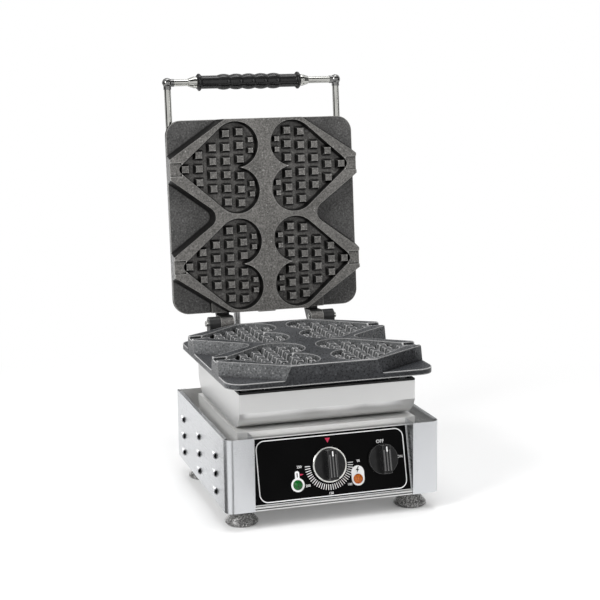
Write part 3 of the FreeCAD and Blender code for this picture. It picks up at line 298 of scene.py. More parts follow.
@dataclass(frozen=True)
class Finish:
    """A finish: its two colours, its gloss as the least and the greatest roughness, and its grain.

    Grain and patch count the fine marks and the broad patches in a metre. Height is the marks' height in
    metres, and strength is how much of it shows.
    """

    name: str
    dark: Colour
    light: Colour
    gloss: Pair
    grain: float = 1500.0
    patch: float = 40.0
    height: float = 0.02 * MM
    way: Grain = Grain.EVEN
    metal: float = 0.0
    coat: float = 0.0
    shine: float = 0.5
    coat_gloss: float = 0.08
    detail: float = 4.0
    strength: float = 1.0

    def material(self) -> bpy.types.Material:
        """Makes the finish's material the first time it is asked for.

        Returns:
            The material.
        """
        if self.name not in MADE:
            tree = Tree(self.name + "_look")
            MADE[self.name] = tree.material
            tree.fix(Metallic=self.metal, Specular_IOR_Level=self.shine)
            tree.fix(Coat_Weight=self.coat, Coat_Roughness=self.coat_gloss)
            self.pattern(tree)
        return MADE[self.name]

    def pattern(self, tree: Tree) -> None:
        """Leads the finish's colour, gloss and relief into the shader.

        Args:
            tree: The material's nodes.
        """
        fine = self.marks(tree)
        tree.feed(self.colour(tree, fine), "Base Color")
        tree.feed(tree.span(fine, *self.gloss), "Roughness")
        tree.relief(fine, self.height, self.strength)

    def marks(self, tree: Tree) -> Socket:
        """The fine marks, along the finish's way."""
        return tree.noise(self.grain, self.detail, self.way.value)

    def colour(self, tree: Tree, fine: Socket) -> Socket:
        """Broad patches between the two colours, whatever the fine marks are."""
        return tree.ramp(tree.noise(self.patch), self.dark, self.light)


@dataclass(frozen=True)
class BrushedSteel(Finish):
    """Sheet steel with a brushed grain that runs one way, with painted shade in its corners."""

    grain: float = 2600.0
    height: float = 0.002 * MM
    detail: float = 5.0
    strength: float = 0.35
    brushed: Pair = (0.25, 0.75)
    corner: float = 8.0 * MM
    steel_corner_shade: Colour = (0.34, 0.335, 0.32)
    steel_corner_fade: Pair = (0.30, 0.92)

    def colour(self, tree: Tree, fine: Socket) -> Socket:
        """Brush marks, with painted shade in the corners."""
        # painted shade: the steel darkens where the surface is sheltered, in corners and creases
        corners = tree.ramp(tree.shelter(self.corner), self.steel_corner_shade, WHITE, *self.steel_corner_fade)
        return tree.mix(Layer.SHADE, tree.ramp(fine, self.dark, self.light, *self.brushed), corners)


@dataclass(frozen=True)
class Polished(Finish):
    """Bright metal with a faint haze."""

    gloss: Pair = (0.06, 0.14)
    grain: float = 700.0
    patch: float = 60.0
    height: float = 0.002 * MM
    metal: float = 1.0


@dataclass(frozen=True)
class Ink(Finish):
    """Printing ink, nearly smooth."""

    gloss: Pair = (0.30, 0.42)
    grain: float = 4000.0
    patch: float = 160.0
    height: float = 0.004 * MM


@dataclass(frozen=True)
class Speckle(Finish):
    """A coating with a sandy grain over broad, worn patches, and a few light flecks."""

    detail: float = 5.0
    strength: float = 0.8
    sand: Colour = grey(0.42)
    sanded: Pair = (0.36, 0.64)
    fleck: Colour = grey(0.2)
    share: float = 0.64
    fleck_edge: float = 0.12

    def colour(self, tree: Tree, fine: Socket) -> Socket:
        """Lays the sand and the flecks on the patches.

        Args:
            tree: The material's nodes.
            fine: The fine marks.

        Returns:
            The colour.
        """
        sand = tree.ramp(fine, self.sand, WHITE, *self.sanded)
        flecks = tree.ramp(fine, BLACK, self.fleck, self.share, self.share + self.fleck_edge)
        return tree.mix(Layer.LIGHTEN, tree.mix(Layer.SHADE, super().colour(tree, fine), sand), flecks)


@dataclass(frozen=True)
class CastIron(Speckle):
    """Seasoned cast iron: a sandy grain, with painted shade in the corners, on walls or tops, low in the
    moulds and on front faces, and a painted highlight along the edges.

    Face is the way that the plate looks, and levels are the bottom and the top of its moulds that way.
    The corner reach and the edge reach are how far the painted corner shade and the painted edge highlight
    spread. The pair after a shade says where it fades: between two measures of openness, of facing or of
    height. Front_line does so along Y. Lengths are in metres.
    """

    face: Point = (0.0, 0.0, 1.0)
    levels: Pair = (0.0, 1.0)
    # Painted shade in sheltered corners and between the pegs.
    corner: float = 3.4 * MM
    iron_corner_shade: Colour = grey(0.03)
    iron_corner_fade: Pair = (0.48, 0.86)
    # Painted highlight along the edges, weaker where the face is a wall.
    highlight_reach: float = 2.0 * MM
    edge_highlight: Colour = grey(0.5)
    highlight_fade: Pair = (0.42, 0.84)
    rim: Colour = grey(0.25)
    rimmed: Pair = (0.40, 0.80)
    # Painted shade by the way a face looks: on walls or tops, low in the moulds, and on the front faces.
    wall: Colour = WHITE
    top: Colour = WHITE
    walled: Pair = (0.45, 0.93)
    low: Colour = WHITE
    lowered: Pair = (0.0, 0.45)
    front: Colour = WHITE
    front_way: Point = (0.35, -0.9367, 0.0)
    fronted: Pair = (0.66, 0.84)
    front_line: Pair = (-0.150, -0.142)

    def colour(self, tree: Tree, fine: Socket) -> Socket:
        """Lays painted shade on the speckle in corners, on walls or tops, low down and on front faces, and a
        painted highlight on the edges.

        Args:
            tree: The material's nodes.
            fine: The fine marks.

        Returns:
            The colour.
        """
        facing = tree.along(Measure.FACING, self.face)
        raised = tree.span(tree.along(Measure.PLACE, self.face), 0.0, 1.0, self.levels)
        colour = super().colour(tree, fine)
        # painted shade: sheltered corners, walls or tops, low parts of the moulds and front faces
        for shade in (
            tree.ramp(tree.shelter(self.corner), self.iron_corner_shade, WHITE, *self.iron_corner_fade),
            tree.ramp(facing, self.wall, self.top, *self.walled),
            tree.ramp(raised, self.low, WHITE, *self.lowered),
            self.shaded_front(tree),
        ):
            colour = tree.mix(Layer.SHADE, colour, shade)
        # painted highlight along the edges, weaker on the walls
        edges = tree.ramp(tree.shelter(self.highlight_reach, True), self.edge_highlight, BLACK, *self.highlight_fade)
        rims = tree.mix(Layer.SHADE, edges, tree.ramp(facing, self.rim, WHITE, *self.rimmed))
        return tree.mix(Layer.LIGHTEN, colour, rims)

    def shaded_front(self, tree: Tree) -> Socket:
        """Shades the faces that look forward in front of a line.

        Args:
            tree: The material's nodes.

        Returns:
            The shade, white elsewhere.
        """
        away = tree.ramp(tree.along(Measure.FACING, self.front_way), WHITE, BLACK, *self.fronted)
        behind = tree.span(tree.along(Measure.PLACE, BACKWARD), 0.0, 1.0, self.front_line)
        return tree.ramp(tree.mix(Layer.LIGHTEN, away, behind), self.front, WHITE, 0.0, 1.0)


@dataclass(frozen=True)
class EdgedPlastic(Finish):
    """Moulded plastic with a painted highlight along its edges."""

    edge_highlight: Colour = grey(0.20)
    highlight_reach: float = 0.9 * MM
    highlight_fade: Pair = (0.35, 0.80)

    def colour(self, tree: Tree, fine: Socket) -> Socket:
        """Plain patches, with a painted highlight along the edges."""
        # painted highlight along the edges
        edges = tree.ramp(tree.shelter(self.highlight_reach, True), self.edge_highlight, BLACK, *self.highlight_fade)
        return tree.mix(Layer.LIGHTEN, super().colour(tree, fine), edges)


@dataclass(frozen=True)
class LampLens(Finish):
    """A clear coloured lens with small facets inside."""

    gloss: Pair = (0.08, 0.2)
    grain: float = 520.0
    height: float = 0.3 * MM
    coat: float = 0.25
    shine: float = 0.3
    strength: float = 0.5
    faceted: Pair = (0.05, 0.75)
    glow: float = 0.03

    def pattern(self, tree: Tree) -> None:
        """Adds a faint glow to the usual pattern.

        Args:
            tree: The material's nodes.
        """
        super().pattern(tree)
        tree.shader.inputs["Emission Color"].default_value = (*self.light, 1.0)
        tree.fix(Emission_Strength=self.glow)

    def marks(self, tree: Tree) -> Socket:
        """The facets."""
        return tree.cells(self.grain)

    def colour(self, tree: Tree, fine: Socket) -> Socket:
        """The lighter colour in the middle of a facet and the darker one between facets."""
        return tree.ramp(fine, self.light, self.dark, *self.faceted)


# Every brushed sheet steel below carries painted shade in its corners.
STEEL = BrushedSteel(
    "sheet_steel_level", (0.705, 0.705, 0.70), (0.735, 0.735, 0.73), gloss=(0.34, 0.42),
    height=0.001 * MM, way=Grain.LEVEL, metal=0.86,
)
STEEL_DEEP = BrushedSteel(
    "sheet_steel_deep", (0.570, 0.580, 0.594), (0.615, 0.625, 0.645), gloss=(0.24, 0.31),
    way=Grain.DEEP, metal=0.95,
)
STEEL_ACROSS = BrushedSteel(
    "sheet_steel_across", (0.67, 0.67, 0.665), (0.71, 0.71, 0.705), gloss=(0.24, 0.31),
    way=Grain.ACROSS, metal=0.95,
)
# Painted light: the deck is a paler copy of the sheet steel, and the deck and the neck are nearly
# non-metallic copies, so that they look lit where they stand in shade.
STEEL_DECK = BrushedSteel(
    "sheet_steel_deck", (0.86, 0.852, 0.835), (0.91, 0.902, 0.885), gloss=(0.36, 0.46),
    way=Grain.ACROSS, metal=0.12,
)
STEEL_NECK = BrushedSteel(
    "sheet_steel_neck", (0.66, 0.658, 0.645), (0.72, 0.718, 0.705), gloss=(0.36, 0.46),
    way=Grain.LEVEL, metal=0.2,
)
BRIGHT = Polished("bright_steel", (0.66, 0.66, 0.63), (0.78, 0.78, 0.75))
# Painted shade: the handle's chrome is a darker copy of the bright steel, for the darker look of its bar and
# legs.
CHROME = Polished("chrome_tube", (0.45, 0.45, 0.425), (0.56, 0.56, 0.53))
ELBOW = Polished("elbow_steel", (0.15, 0.15, 0.148), (0.25, 0.25, 0.245), gloss=(0.10, 0.20))
SCREW = Finish(
    "plated_screw", grey(0.42), (0.60, 0.60, 0.59), gloss=(0.22, 0.38),
    grain=2600.0, patch=300.0, height=0.01 * MM, metal=1.0,
)
# Both plates carry painted shade in corners, on walls or tops, low down and on front faces, and a painted
# highlight along the edges.
LOWER_CAST = CastIron(
    "cast_plate_lower", (0.086, 0.089, 0.092), (0.160, 0.164, 0.167), gloss=(0.22, 0.42),
    grain=420.0, patch=26.0, height=0.20 * MM, shine=0.35, fleck=grey(0.34), share=0.60,
    corner=7.0 * MM, highlight_reach=2.6 * MM, edge_highlight=grey(0.85), rim=grey(0.75),
    top=(0.52, 0.53, 0.56), low=(0.62, 0.63, 0.66), levels=(0.2001, 0.2197), front=(0.30, 0.305, 0.325),
)
UPPER_CAST = CastIron(
    "cast_plate_upper", (0.140, 0.136, 0.129), (0.205, 0.198, 0.188), gloss=(0.32, 0.52),
    grain=420.0, patch=22.0, height=0.16 * MM, shine=0.25, fleck=(0.42, 0.415, 0.40), share=0.62,
    edge_highlight=(0.50, 0.49, 0.47), face=(0.0, -0.9962, 0.0872),
    wall=grey(0.05), low=(0.56, 0.57, 0.59), levels=(-0.1080, -0.0884),
)
PANEL_FILM = Finish(
    "panel_film", (0.0012, 0.0012, 0.0013), (0.0020, 0.0020, 0.0021), gloss=(0.16, 0.24),
    grain=1200.0, patch=30.0, height=0.004 * MM, shine=0.04,
)
# The knobs and the brackets carry a painted highlight along their edges.
KNOB = EdgedPlastic(
    "knob_black", (0.007, 0.007, 0.0075), grey(0.014), gloss=(0.18, 0.30),
    grain=3800.0, patch=120.0, height=0.012 * MM, shine=0.25,
)
GRIP = Finish(
    "grip_black", (0.006, 0.006, 0.0062), (0.011, 0.011, 0.0112), gloss=(0.34, 0.48),
    grain=2600.0, patch=60.0, coat=0.5, shine=0.1,
)
BRACKET = EdgedPlastic(
    "bracket_black", (0.014, 0.014, 0.0145), grey(0.030), gloss=(0.28, 0.44),
    grain=1400.0, patch=60.0, height=0.06 * MM, shine=0.3, edge_highlight=(0.12, 0.12, 0.118), highlight_reach=1.2 * MM,
)
FOOT = Speckle(
    "foot_grey", (0.115, 0.115, 0.112), (0.46, 0.456, 0.447), gloss=(0.20, 0.40),
    grain=520.0, patch=160.0, height=0.40 * MM, metal=0.30,
    sand=grey(0.24), fleck=(0.78, 0.77, 0.76), share=0.56,
)
GASKET = Finish(
    "gasket_black", grey(0.010), grey(0.020), gloss=(0.42, 0.6),
    grain=3000.0, patch=80.0, height=0.03 * MM, shine=0.25,
)
GREY_GASKET = Finish(
    "gasket_grey", (0.060, 0.060, 0.058), (0.11, 0.11, 0.105), gloss=(0.6, 0.8),
    grain=2200.0, patch=120.0, height=0.05 * MM,
)
WOOL = Finish(
    "insulation_wool", (0.50, 0.47, 0.40), (0.72, 0.69, 0.62), gloss=(0.85, 1.0),
    grain=900.0, patch=90.0, height=0.4 * MM, way=Grain.LEVEL,
)
HEATER = Finish(
    "heater_tube", (0.10, 0.085, 0.075), (0.21, 0.18, 0.16), gloss=(0.35, 0.55),
    grain=1600.0, patch=90.0, metal=0.85,
)
CASE = Finish(
    "moulded_case", (0.58, 0.56, 0.50), (0.68, 0.66, 0.60), gloss=(0.4, 0.55), grain=3200.0, patch=70.0,
)
HOSE = Finish(
    "hose_steel", grey(0.44), grey(0.58), gloss=(0.22, 0.36), grain=1800.0, patch=120.0, metal=1.0,
)
GREEN_LENS = LampLens("lens_green", (0.0, 0.030, 0.004), (0.004, 0.19, 0.022))
ORANGE_LENS = LampLens("lens_orange", (0.24, 0.044, 0.002), (0.70, 0.18, 0.012))
WHITE_INK = Ink("white_ink", grey(0.80), grey(0.88))
RED_INK = Ink("red_ink", (0.48, 0.016, 0.062), (0.58, 0.024, 0.085))
BLACK_INK = Ink("black_ink", grey(0.004), grey(0.009), shine=0.15)


class Bench:
    """Modelling steps that the new pieces share, each done with Blender's own operators."""

    corner_steps: ClassVar[int] = 8
    disc_sides: ClassVar[int] = 64
    letter_steps: ClassVar[int] = 3
    letter_weight: ClassVar[float] = 0.012

    @staticmethod
    def clear() -> None:
        """Leaves Object mode on and nothing selected."""
        if bpy.context.object is not None and bpy.context.object.mode != "OBJECT":
            bpy.ops.object.mode_set(mode="OBJECT")
        bpy.ops.object.select_all(action="DESELECT")

    @staticmethod
    def named(name: str) -> Piece:
        """Names the active piece and its mesh.

        Args:
            name: The piece's name.

        Returns:
            The piece.
        """
        piece = bpy.context.object
        piece.name = piece.data.name = name
        return piece

    @staticmethod
    def raise_flat(thick: float) -> None:
        """Gives the flat shape in edit mode its thickness, with its faces outwards.

        Args:
            thick: The thickness along Z.
        """
        bpy.ops.mesh.select_all(action="SELECT")
        bpy.ops.mesh.extrude_region_move(TRANSFORM_OT_translate={"value": (0.0, 0.0, thick)})
        bpy.ops.mesh.select_all(action="SELECT")
        bpy.ops.mesh.normals_make_consistent(inside=False)
        bpy.ops.object.mode_set(mode="OBJECT")

    @classmethod
    def plate(cls, name: str, size: Pair, radius: float, thick: float, line: float = 0.0) -> Piece:
        """Makes a flat plate with round corners, or its outline.

        Args:
            name: The piece's name.
            size: Its sizes along X and Y.
            radius: The corner radius.
            thick: Its thickness along Z.
            line: The outline's width, or 0 for a whole plate.

        Returns:
            The plate, about the origin.
        """
        cls.clear()
        bpy.ops.mesh.primitive_plane_add(size=1.0)
        piece = cls.named(name)
        piece.scale = (*size, 1.0)
        bpy.ops.object.transform_apply(location=False, rotation=False, scale=True)
        bpy.ops.object.mode_set(mode="EDIT")
        bpy.ops.mesh.select_all(action="SELECT")
        bpy.ops.mesh.bevel(offset=radius, segments=cls.corner_steps, affect="VERTICES")
        bpy.ops.mesh.select_all(action="SELECT")
        if line:
            bpy.ops.mesh.inset(thickness=line)
            bpy.ops.mesh.delete(type="FACE")
        cls.raise_flat(thick)
        return piece

    @classmethod
    def disc(cls, name: str, radius: float, thick: float) -> Piece:
        """Makes a flat disc.

        Args:
            name: The piece's name.
            radius: Its radius.
            thick: Its thickness along Z.

        Returns:
            The disc, about the origin.
        """
        cls.clear()
        bpy.ops.mesh.primitive_circle_add(vertices=cls.disc_sides, radius=radius, fill_type="NGON")
        piece = cls.named(name)
        bpy.ops.object.mode_set(mode="EDIT")
        cls.raise_flat(thick)
        return piece

    @classmethod
    def outline(cls, name: str, corners: Sequence[Pair], thick: float) -> Piece:
        """Makes a flat shape from its corners.

        Args:
            name: The piece's name.
            corners: The corners in turn, in X and Y.
            thick: Its thickness along Z.

        Returns:
            The shape.
        """
        cls.clear()
        bpy.ops.mesh.primitive_circle_add(vertices=len(corners), radius=1.0, fill_type="NGON")
        piece = cls.named(name)
        for vertex, corner in zip(piece.data.vertices, corners):
            vertex.co = (*corner, 0.0)
        bpy.ops.object.mode_set(mode="EDIT")
        cls.raise_flat(thick)
        return piece

    @classmethod
    def letters(cls, name: str, words: str, size: float, thick: float) -> Piece:
        """Makes plain raised lettering as a mesh.

        Args:
            name: The piece's name.
            words: The letters or figures.
            size: Their size.
            thick: Their thickness along Z.

        Returns:
            The lettering, centred on the origin.
        """
        cls.clear()
        bpy.ops.object.text_add()
        text = bpy.context.object.data
        text.body = words
        text.size = size
        text.align_x, text.align_y = "CENTER", "CENTER"
        text.extrude = thick / 2
        text.resolution_u = cls.letter_steps
        text.offset = cls.letter_weight * size
        bpy.ops.object.convert(target="MESH")
        piece = cls.named(name)
        piece.data.transform(Matrix.Translation((0.0, 0.0, thick / 2)))
        return piece

    @staticmethod
    def settle(piece: Piece, place: Matrix) -> Piece:
        """Puts a piece's place in its mesh, with its object at the origin.

        Args:
            piece: The piece.
            place: The matrix from the piece's own frame to its place.

        Returns:
            The piece.
        """
        piece.data.transform(place @ piece.matrix_basis)
        piece.matrix_basis = Matrix.Identity(4)
        return piece

    @staticmethod
    def copy(piece: Piece, place: Matrix) -> Piece:
        """Copies a piece that is about the origin, with its own mesh.

        Args:
            piece: The piece.
            place: The matrix to the copy's place.

        Returns:
            The copy.
        """
        twin = piece.copy()
        twin.data = piece.data.copy()
        bpy.context.scene.collection.objects.link(twin)
        twin.data.transform(place)
        return twin

    @classmethod
    def join(cls, name: str, pieces: Sequence[Piece]) -> Piece:
        """Makes several pieces one.

        Args:
            name: The name of the whole.
            pieces: The pieces.

        Returns:
            The whole.
        """
        cls.clear()
        for piece in pieces:
            piece.select_set(True)
        bpy.context.view_layer.objects.active = pieces[0]
        bpy.ops.object.join()
        return cls.named(name)

    @staticmethod
    def paint(piece: Piece, finish: Finish) -> None:
        """Gives a piece one finish."""
        piece.data.materials.clear()
        piece.data.materials.append(finish.material())

    @classmethod
    def dress(cls, piece: Piece, finish: Finish, body: Body, slot: Slot) -> None:
        """Gives a new piece its finish and body, and reports it.

        Args:
            piece: The piece.
            finish: Its finish.
            body: The body that it rides on.
            slot: The slot that it fills; not used.
        """
        cls.paint(piece, finish)
        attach(piece, body.value)
        LOG.info("piece %s on %s in %s", piece.name, body.value, finish.name)


@dataclass
class SubAssembly:
    """A group of nodes that are dressed together.

    Edges and breaks hold the nodes whose edge radius or break angle isn't the usual one. Past the break
    angle an edge is rounded, and where that angle is under the fold angle, its two faces are also shaded
    apart. Lengths are in millimetres and angles in degrees.
    """

    finishes: dict[str, Finish] = field(default_factory=dict)
    edges: dict[str, float] = field(default_factory=dict)
    breaks: dict[str, float] = field(default_factory=dict)
    edge: float = 0.4
    break_angle: float = 32.0
    fold_angle: float = 20.0
    merge: float = 0.002
    edge_steps: int = 2
    face_weight: int = 80

    def build(self) -> None:
        """Makes the sub-assembly's own new pieces, where it has any."""

    def dress(self) -> None:
        """Gives each node its finish and softly broken edges."""
        for name, finish in self.finishes.items():
            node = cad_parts[name]
            Bench.paint(node, finish)
            self.soften(node, self.edges.get(name, self.edge) * MM, self.breaks.get(name, self.break_angle))
            LOG.info("node %s in %s", name, finish.name)

    def soften(self, node: Piece, radius: float, angle: float) -> None:
        """Adds live modifiers that merge, round and smooth a node's shape.

        Args:
            node: The node's object.
            radius: The edge radius.
            angle: The angle in degrees past which an edge is rounded.
        """
        weld = node.modifiers.new("merge", "WELD")
        weld.merge_threshold = self.merge * MM
        bevel = node.modifiers.new("edges", "BEVEL")
        bevel.width = radius
        bevel.segments = self.edge_steps
        bevel.limit_method = "ANGLE"
        bevel.angle_limit = math.radians(angle)
        bevel.use_clamp_overlap = True
        bevel.harden_normals = False
        if angle < self.fold_angle:
            creases = node.modifiers.new("creases", "EDGE_SPLIT")
            creases.use_edge_sharp = False
            creases.split_angle = math.radians(angle)
        smooth = node.modifiers.new("normals", "WEIGHTED_NORMAL")
        smooth.mode = "FACE_AREA_WITH_ANGLE"
        smooth.keep_sharp = False
        smooth.weight = self.face_weight


@dataclass
class BaseShell(SubAssembly):
    """The sheet steel base with its deck, neck, feet and mains gland."""

    finishes: dict[str, Finish] = field(default_factory=lambda: {
        "base_pan": STEEL_ACROSS,
        "left_side_panel": STEEL_DEEP,
        "right_side_panel": STEEL_DEEP,
        "rear_panel": STEEL,
        "control_fascia": STEEL_ACROSS,
        "deck_tray": STEEL_DECK,
        "neck_box": STEEL_NECK,
        "thermal_gasket": GREY_GASKET,
        "mains_gland": KNOB,
        "terminal_block": CASE,
        "foot_front_left": FOOT,
        "foot_front_right": FOOT,
        "foot_rear_left": FOOT,
        "foot_rear_right": FOOT,
        "foot_screws": SCREW,
    })
    breaks: dict[str, float] = field(default_factory=lambda: {"rear_panel": 14.0})


@dataclass
class LowerPlate(SubAssembly):
    """The housing on the neck, with the lower baking plate and what heats it."""

    finishes: dict[str, Finish] = field(default_factory=lambda: {
        "plate_housing": STEEL,
        "rim_gasket": GASKET,
        "lower_insulation": WOOL,
        "lower_heater": HEATER,
        "lower_heater_clamp": SCREW,
        "lower_clamp_screws": SCREW,
        "lower_plate": LOWER_CAST,
        "thermostat_bulb": BRIGHT,
    })
    breaks: dict[str, float] = field(default_factory=lambda: {"plate_housing": 12.0})


@dataclass
class Hinge(SubAssembly):
    """The two hinge brackets with their pins and screws."""

    finishes: dict[str, Finish] = field(default_factory=lambda: {
        "hinge_bracket_left": BRACKET,
        "hinge_bracket_right": BRACKET,
        "hinge_pin_left": BRIGHT,
        "hinge_pin_right": BRIGHT,
        "bracket_screws": SCREW,
    })


@dataclass
class Lid(SubAssembly):
    """The upper baking plate, what heats it, and its cover."""

    finishes: dict[str, Finish] = field(default_factory=lambda: {
        "upper_plate": UPPER_CAST,
        "upper_heater": HEATER,
        "upper_heater_clamp": SCREW,
        "upper_clamp_screws": SCREW,
        "upper_insulation": WOOL,
        "lid_cover": STEEL_ACROSS,
        "cover_screws": SCREW,
    })
    edges: dict[str, float] = field(default_factory=lambda: {"lid_cover": 0.06})
    breaks: dict[str, float] = field(default_factory=lambda: {"lid_cover": 14.0})


@dataclass
class Handle(SubAssembly):
    """The lifting handle: two legs, elbows, a bar with a grip, and the saddles on the lid."""

    finishes: dict[str, Finish] = field(default_factory=lambda: {
        "handle_leg_left": CHROME,
        "handle_leg_right": CHROME,
        "handle_elbow_left": ELBOW,
        "handle_elbow_right": ELBOW,
        "handle_bar": CHROME,
        "ferrule_left": CHROME,
        "ferrule_right": CHROME,
        "handle_grip": GRIP,
        "leg_saddles": BRACKET,
    })


@dataclass
class Conduit(SubAssembly):
    """The steel hose that leads the upper heater's wires from the base to the lid, and its glands.

    The bend, where the hose would stop following the base and only follow the lid, is not used. Lengths are
    in metres.
    """

    route: tuple[Point, ...] = (
        (-0.040, 0.1019, 0.0700),
        (-0.040, 0.14662, 0.0700),
        (-0.040, 0.1540, 0.1540),
        (-0.040, 0.16092, 0.23336),
    )
    bend: tuple[Point, Point] = ((-0.040, 0.1500, 0.1000), (-0.040, 0.1600, 0.2200))
    radius: float = 5.0 * MM
    order: int = 3
    steps: int = 28
    round_steps: int = 6
    finishes: dict[str, Finish] = field(default_factory=lambda: {
        "conduit_gland_lower": KNOB,
        "conduit_gland_upper": KNOB,
        "conduit": HOSE,
    })

    def build(self) -> None:
        """Lays the hose on one smooth line and bends it between the base and the lid."""
        Bench.clear()
        line = bpy.data.curves.new("conduit_hose", "CURVE")
        line.dimensions = "3D"
        spline = line.splines.new("NURBS")
        spline.points.add(len(self.route) - 1)
        for point, place in zip(spline.points, self.route):
            point.co = (*place, 1.0)
        spline.order_u = self.order
        spline.use_endpoint_u = True
        line.resolution_u = self.steps
        line.bevel_depth = self.radius
        line.bevel_resolution = self.round_steps
        line.use_fill_caps = True
        hose = bpy.data.objects.new("conduit_hose", line)
        bpy.context.scene.collection.objects.link(hose)
        hose.select_set(True)
        bpy.context.view_layer.objects.active = hose
        bpy.ops.object.convert(target="MESH")
        hose = Bench.named("conduit_hose")
        bpy.ops.object.shade_smooth()
        Bench.paint(hose, HOSE)
        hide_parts("conduit")
        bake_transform(hose)
        LOG.info("piece %s between %s and %s", hose.name, Body.BASE.value, Body.LID.value)


@dataclass
class ControlPanel(SubAssembly):
    """The sloping control panel with its print, lamps, thermostat and switch.

    Sizes are in millimetres, and places are in millimetres along and up the panel. Only the foot, the lower
    edge's place in Y and Z, is in metres.
    """

    tilt: float = 15.0
    foot: Pair = (-0.1889, 0.0330)
    film: float = 1.0
    ink: float = 0.12
    lift: float = 0.02
    stem_over: float = 0.01
    dark_over: float = 0.08
    border: Pair = (208.6, 82.4)
    border_middle: Pair = (0.8, 42.8)
    border_corner: float = 12.0
    border_line: float = 1.3
    dial: Pair = (-4.0, 44.0)
    dial_half: float = 15.0
    switch: Pair = (72.5, 44.0)
    switch_half: float = 14.0
    knob_top: float = 21.4
    ticks: int = 31
    tick_ring: Pair = (26.4, 34.0)
    tick_arc: Pair = (180.0, 360.0)
    tick_upright: float = 90.0
    tick_width: float = 0.95
    tick_corner: float = 0.2
    mark: tuple[Pair, ...] = ((-3.6, 3.2), (0.0, -3.4), (3.6, 3.2))
    mark_place: Pair = (-3.2, 76.4)
    wedge: tuple[Pair, ...] = ((-2.6, 1.3), (-2.6, -1.3), (2.6, 0.0))
    wedge_place: Pair = (-42.8, 34.4)
    wedge_turn: float = 6.0
    green: Pair = (-49.5, 21.0)
    bulb_radius: float = 9.3
    stem: Pair = (6.2, 12.4)
    stem_corner: float = 3.0
    stem_up: float = 12.4
    bore: Pair = (1.3, 6.0)
    bore_corner: float = 0.6
    bore_up: float = 13.0
    orange: Pair = (35.5, 21.0)
    capsule: Pair = (18.2, 27.0)
    capsule_corner: float = 9.0
    capsule_up: float = 4.4
    spark: tuple[Pair, ...] = (
        (1.2, 4.4), (-2.4, -0.4), (-0.3, -0.4), (-1.3, -4.4), (2.5, 0.9), (0.4, 0.9), (2.4, 4.4),
    )
    spark_from_lamp: Pair = (-0.2, 12.0)
    rib_width: float = 1.3
    rib_corner: float = 0.6
    rib_height: float = 0.8
    rib_sides: tuple[float, ...] = (-4.0, 0.0, 4.0)
    rib_down: float = 1.5
    rib_sink: float = 0.05
    pointer: Pair = (1.7, 7.0)
    pointer_corner: float = 0.7
    pointer_back: float = 0.4
    pointer_lift: float = 0.80
    labels: ClassVar[tuple[tuple[str, float, float, float], ...]] = (
        ("250", 4.6, -45.7, 44.6),
        ("200", 4.6, -35.4, 18.6),
        ("150", 4.6, -4.2, 5.6),
        ("100", 4.6, 23.0, 14.6),
        ("50", 4.6, 37.6, 44.8),
        ("OFF", 6.4, 71.0, 68.0),
        ("ON", 5.0, 97.6, 45.0),
    )
    finishes: dict[str, Finish] = field(default_factory=lambda: {
        "panel_overlay": PANEL_FILM,
        "thermostat_body": CASE,
        "switch_body": CASE,
        "green_lamp_lens": GREEN_LENS,
        "green_lamp_body": CASE,
        "orange_lamp_lens": ORANGE_LENS,
        "orange_lamp_body": CASE,
        "thermostat_knob": KNOB,
        "thermostat_knob_ring": BRIGHT,
        "thermostat_shaft": SCREW,
        "switch_knob": KNOB,
        "switch_shaft": SCREW,
    })
    edges: dict[str, float] = field(default_factory=lambda: {
        "panel_overlay": 0.2,
        "thermostat_knob": 0.9,
        "switch_knob": 0.9,
    })

    def build(self) -> None:
        """Makes the panel's print and the pointers on the two knobs."""
        self.print_border()
        self.print_scale()
        self.print_lamp_signs()
        self.print_words()
        self.print_pointers()

    def at(self, along: float, up: float, out: float, turn: float = 0.0) -> Matrix:
        """Finds a place on the panel.

        Args:
            along: Millimetres along X.
            up: Millimetres up the slope.
            out: Millimetres out of the panel.
            turn: Degrees of turn in the panel's plane.

        Returns:
            The matrix from a flat piece's own frame to that place.
        """
        slope = math.radians(self.tilt)
        place = Vector((
            along * MM,
            self.foot[0] + (up * math.sin(slope) - out * math.cos(slope)) * MM,
            self.foot[1] + (up * math.cos(slope) + out * math.sin(slope)) * MM,
        ))
        lean = Matrix.Rotation(math.pi / 2 - slope, 4, "X")
        return Matrix.Translation(place) @ lean @ Matrix.Rotation(math.radians(turn), 4, "Z")

    def lay(self, piece: Piece, along: float, up: float, turn: float = 0.0, over: float = 0.0) -> Piece:
        """Lays a flat piece of print on the panel's film.

        Args:
            piece: The piece, about the origin.
            along: Millimetres along X.
            up: Millimetres up the slope.
            turn: Degrees of turn in the panel's plane.
            over: Millimetres over the usual print.

        Returns:
            The piece.
        """
        return Bench.settle(piece, self.at(along, up, self.film + self.lift + over, turn))

    def plate(self, name: str, size: Pair, corner: float, line: float = 0.0) -> Piece:
        """A printed plate with round corners, or its outline, from sizes in millimetres."""
        return Bench.plate(name, (size[0] * MM, size[1] * MM), corner * MM, self.ink * MM, line * MM)

    def outline(self, name: str, corners: Sequence[Pair]) -> Piece:
        """A printed shape from its corners, in millimetres."""
        return Bench.outline(name, [(along * MM, up * MM) for along, up in corners], self.ink * MM)

    def print_border(self) -> None:
        """The white line round the panel, with round corners."""
        border = self.plate("panel_border", self.border, self.border_corner, self.border_line)
        Bench.dress(self.lay(border, *self.border_middle), WHITE_INK, Body.BASE, Slot.CASE)

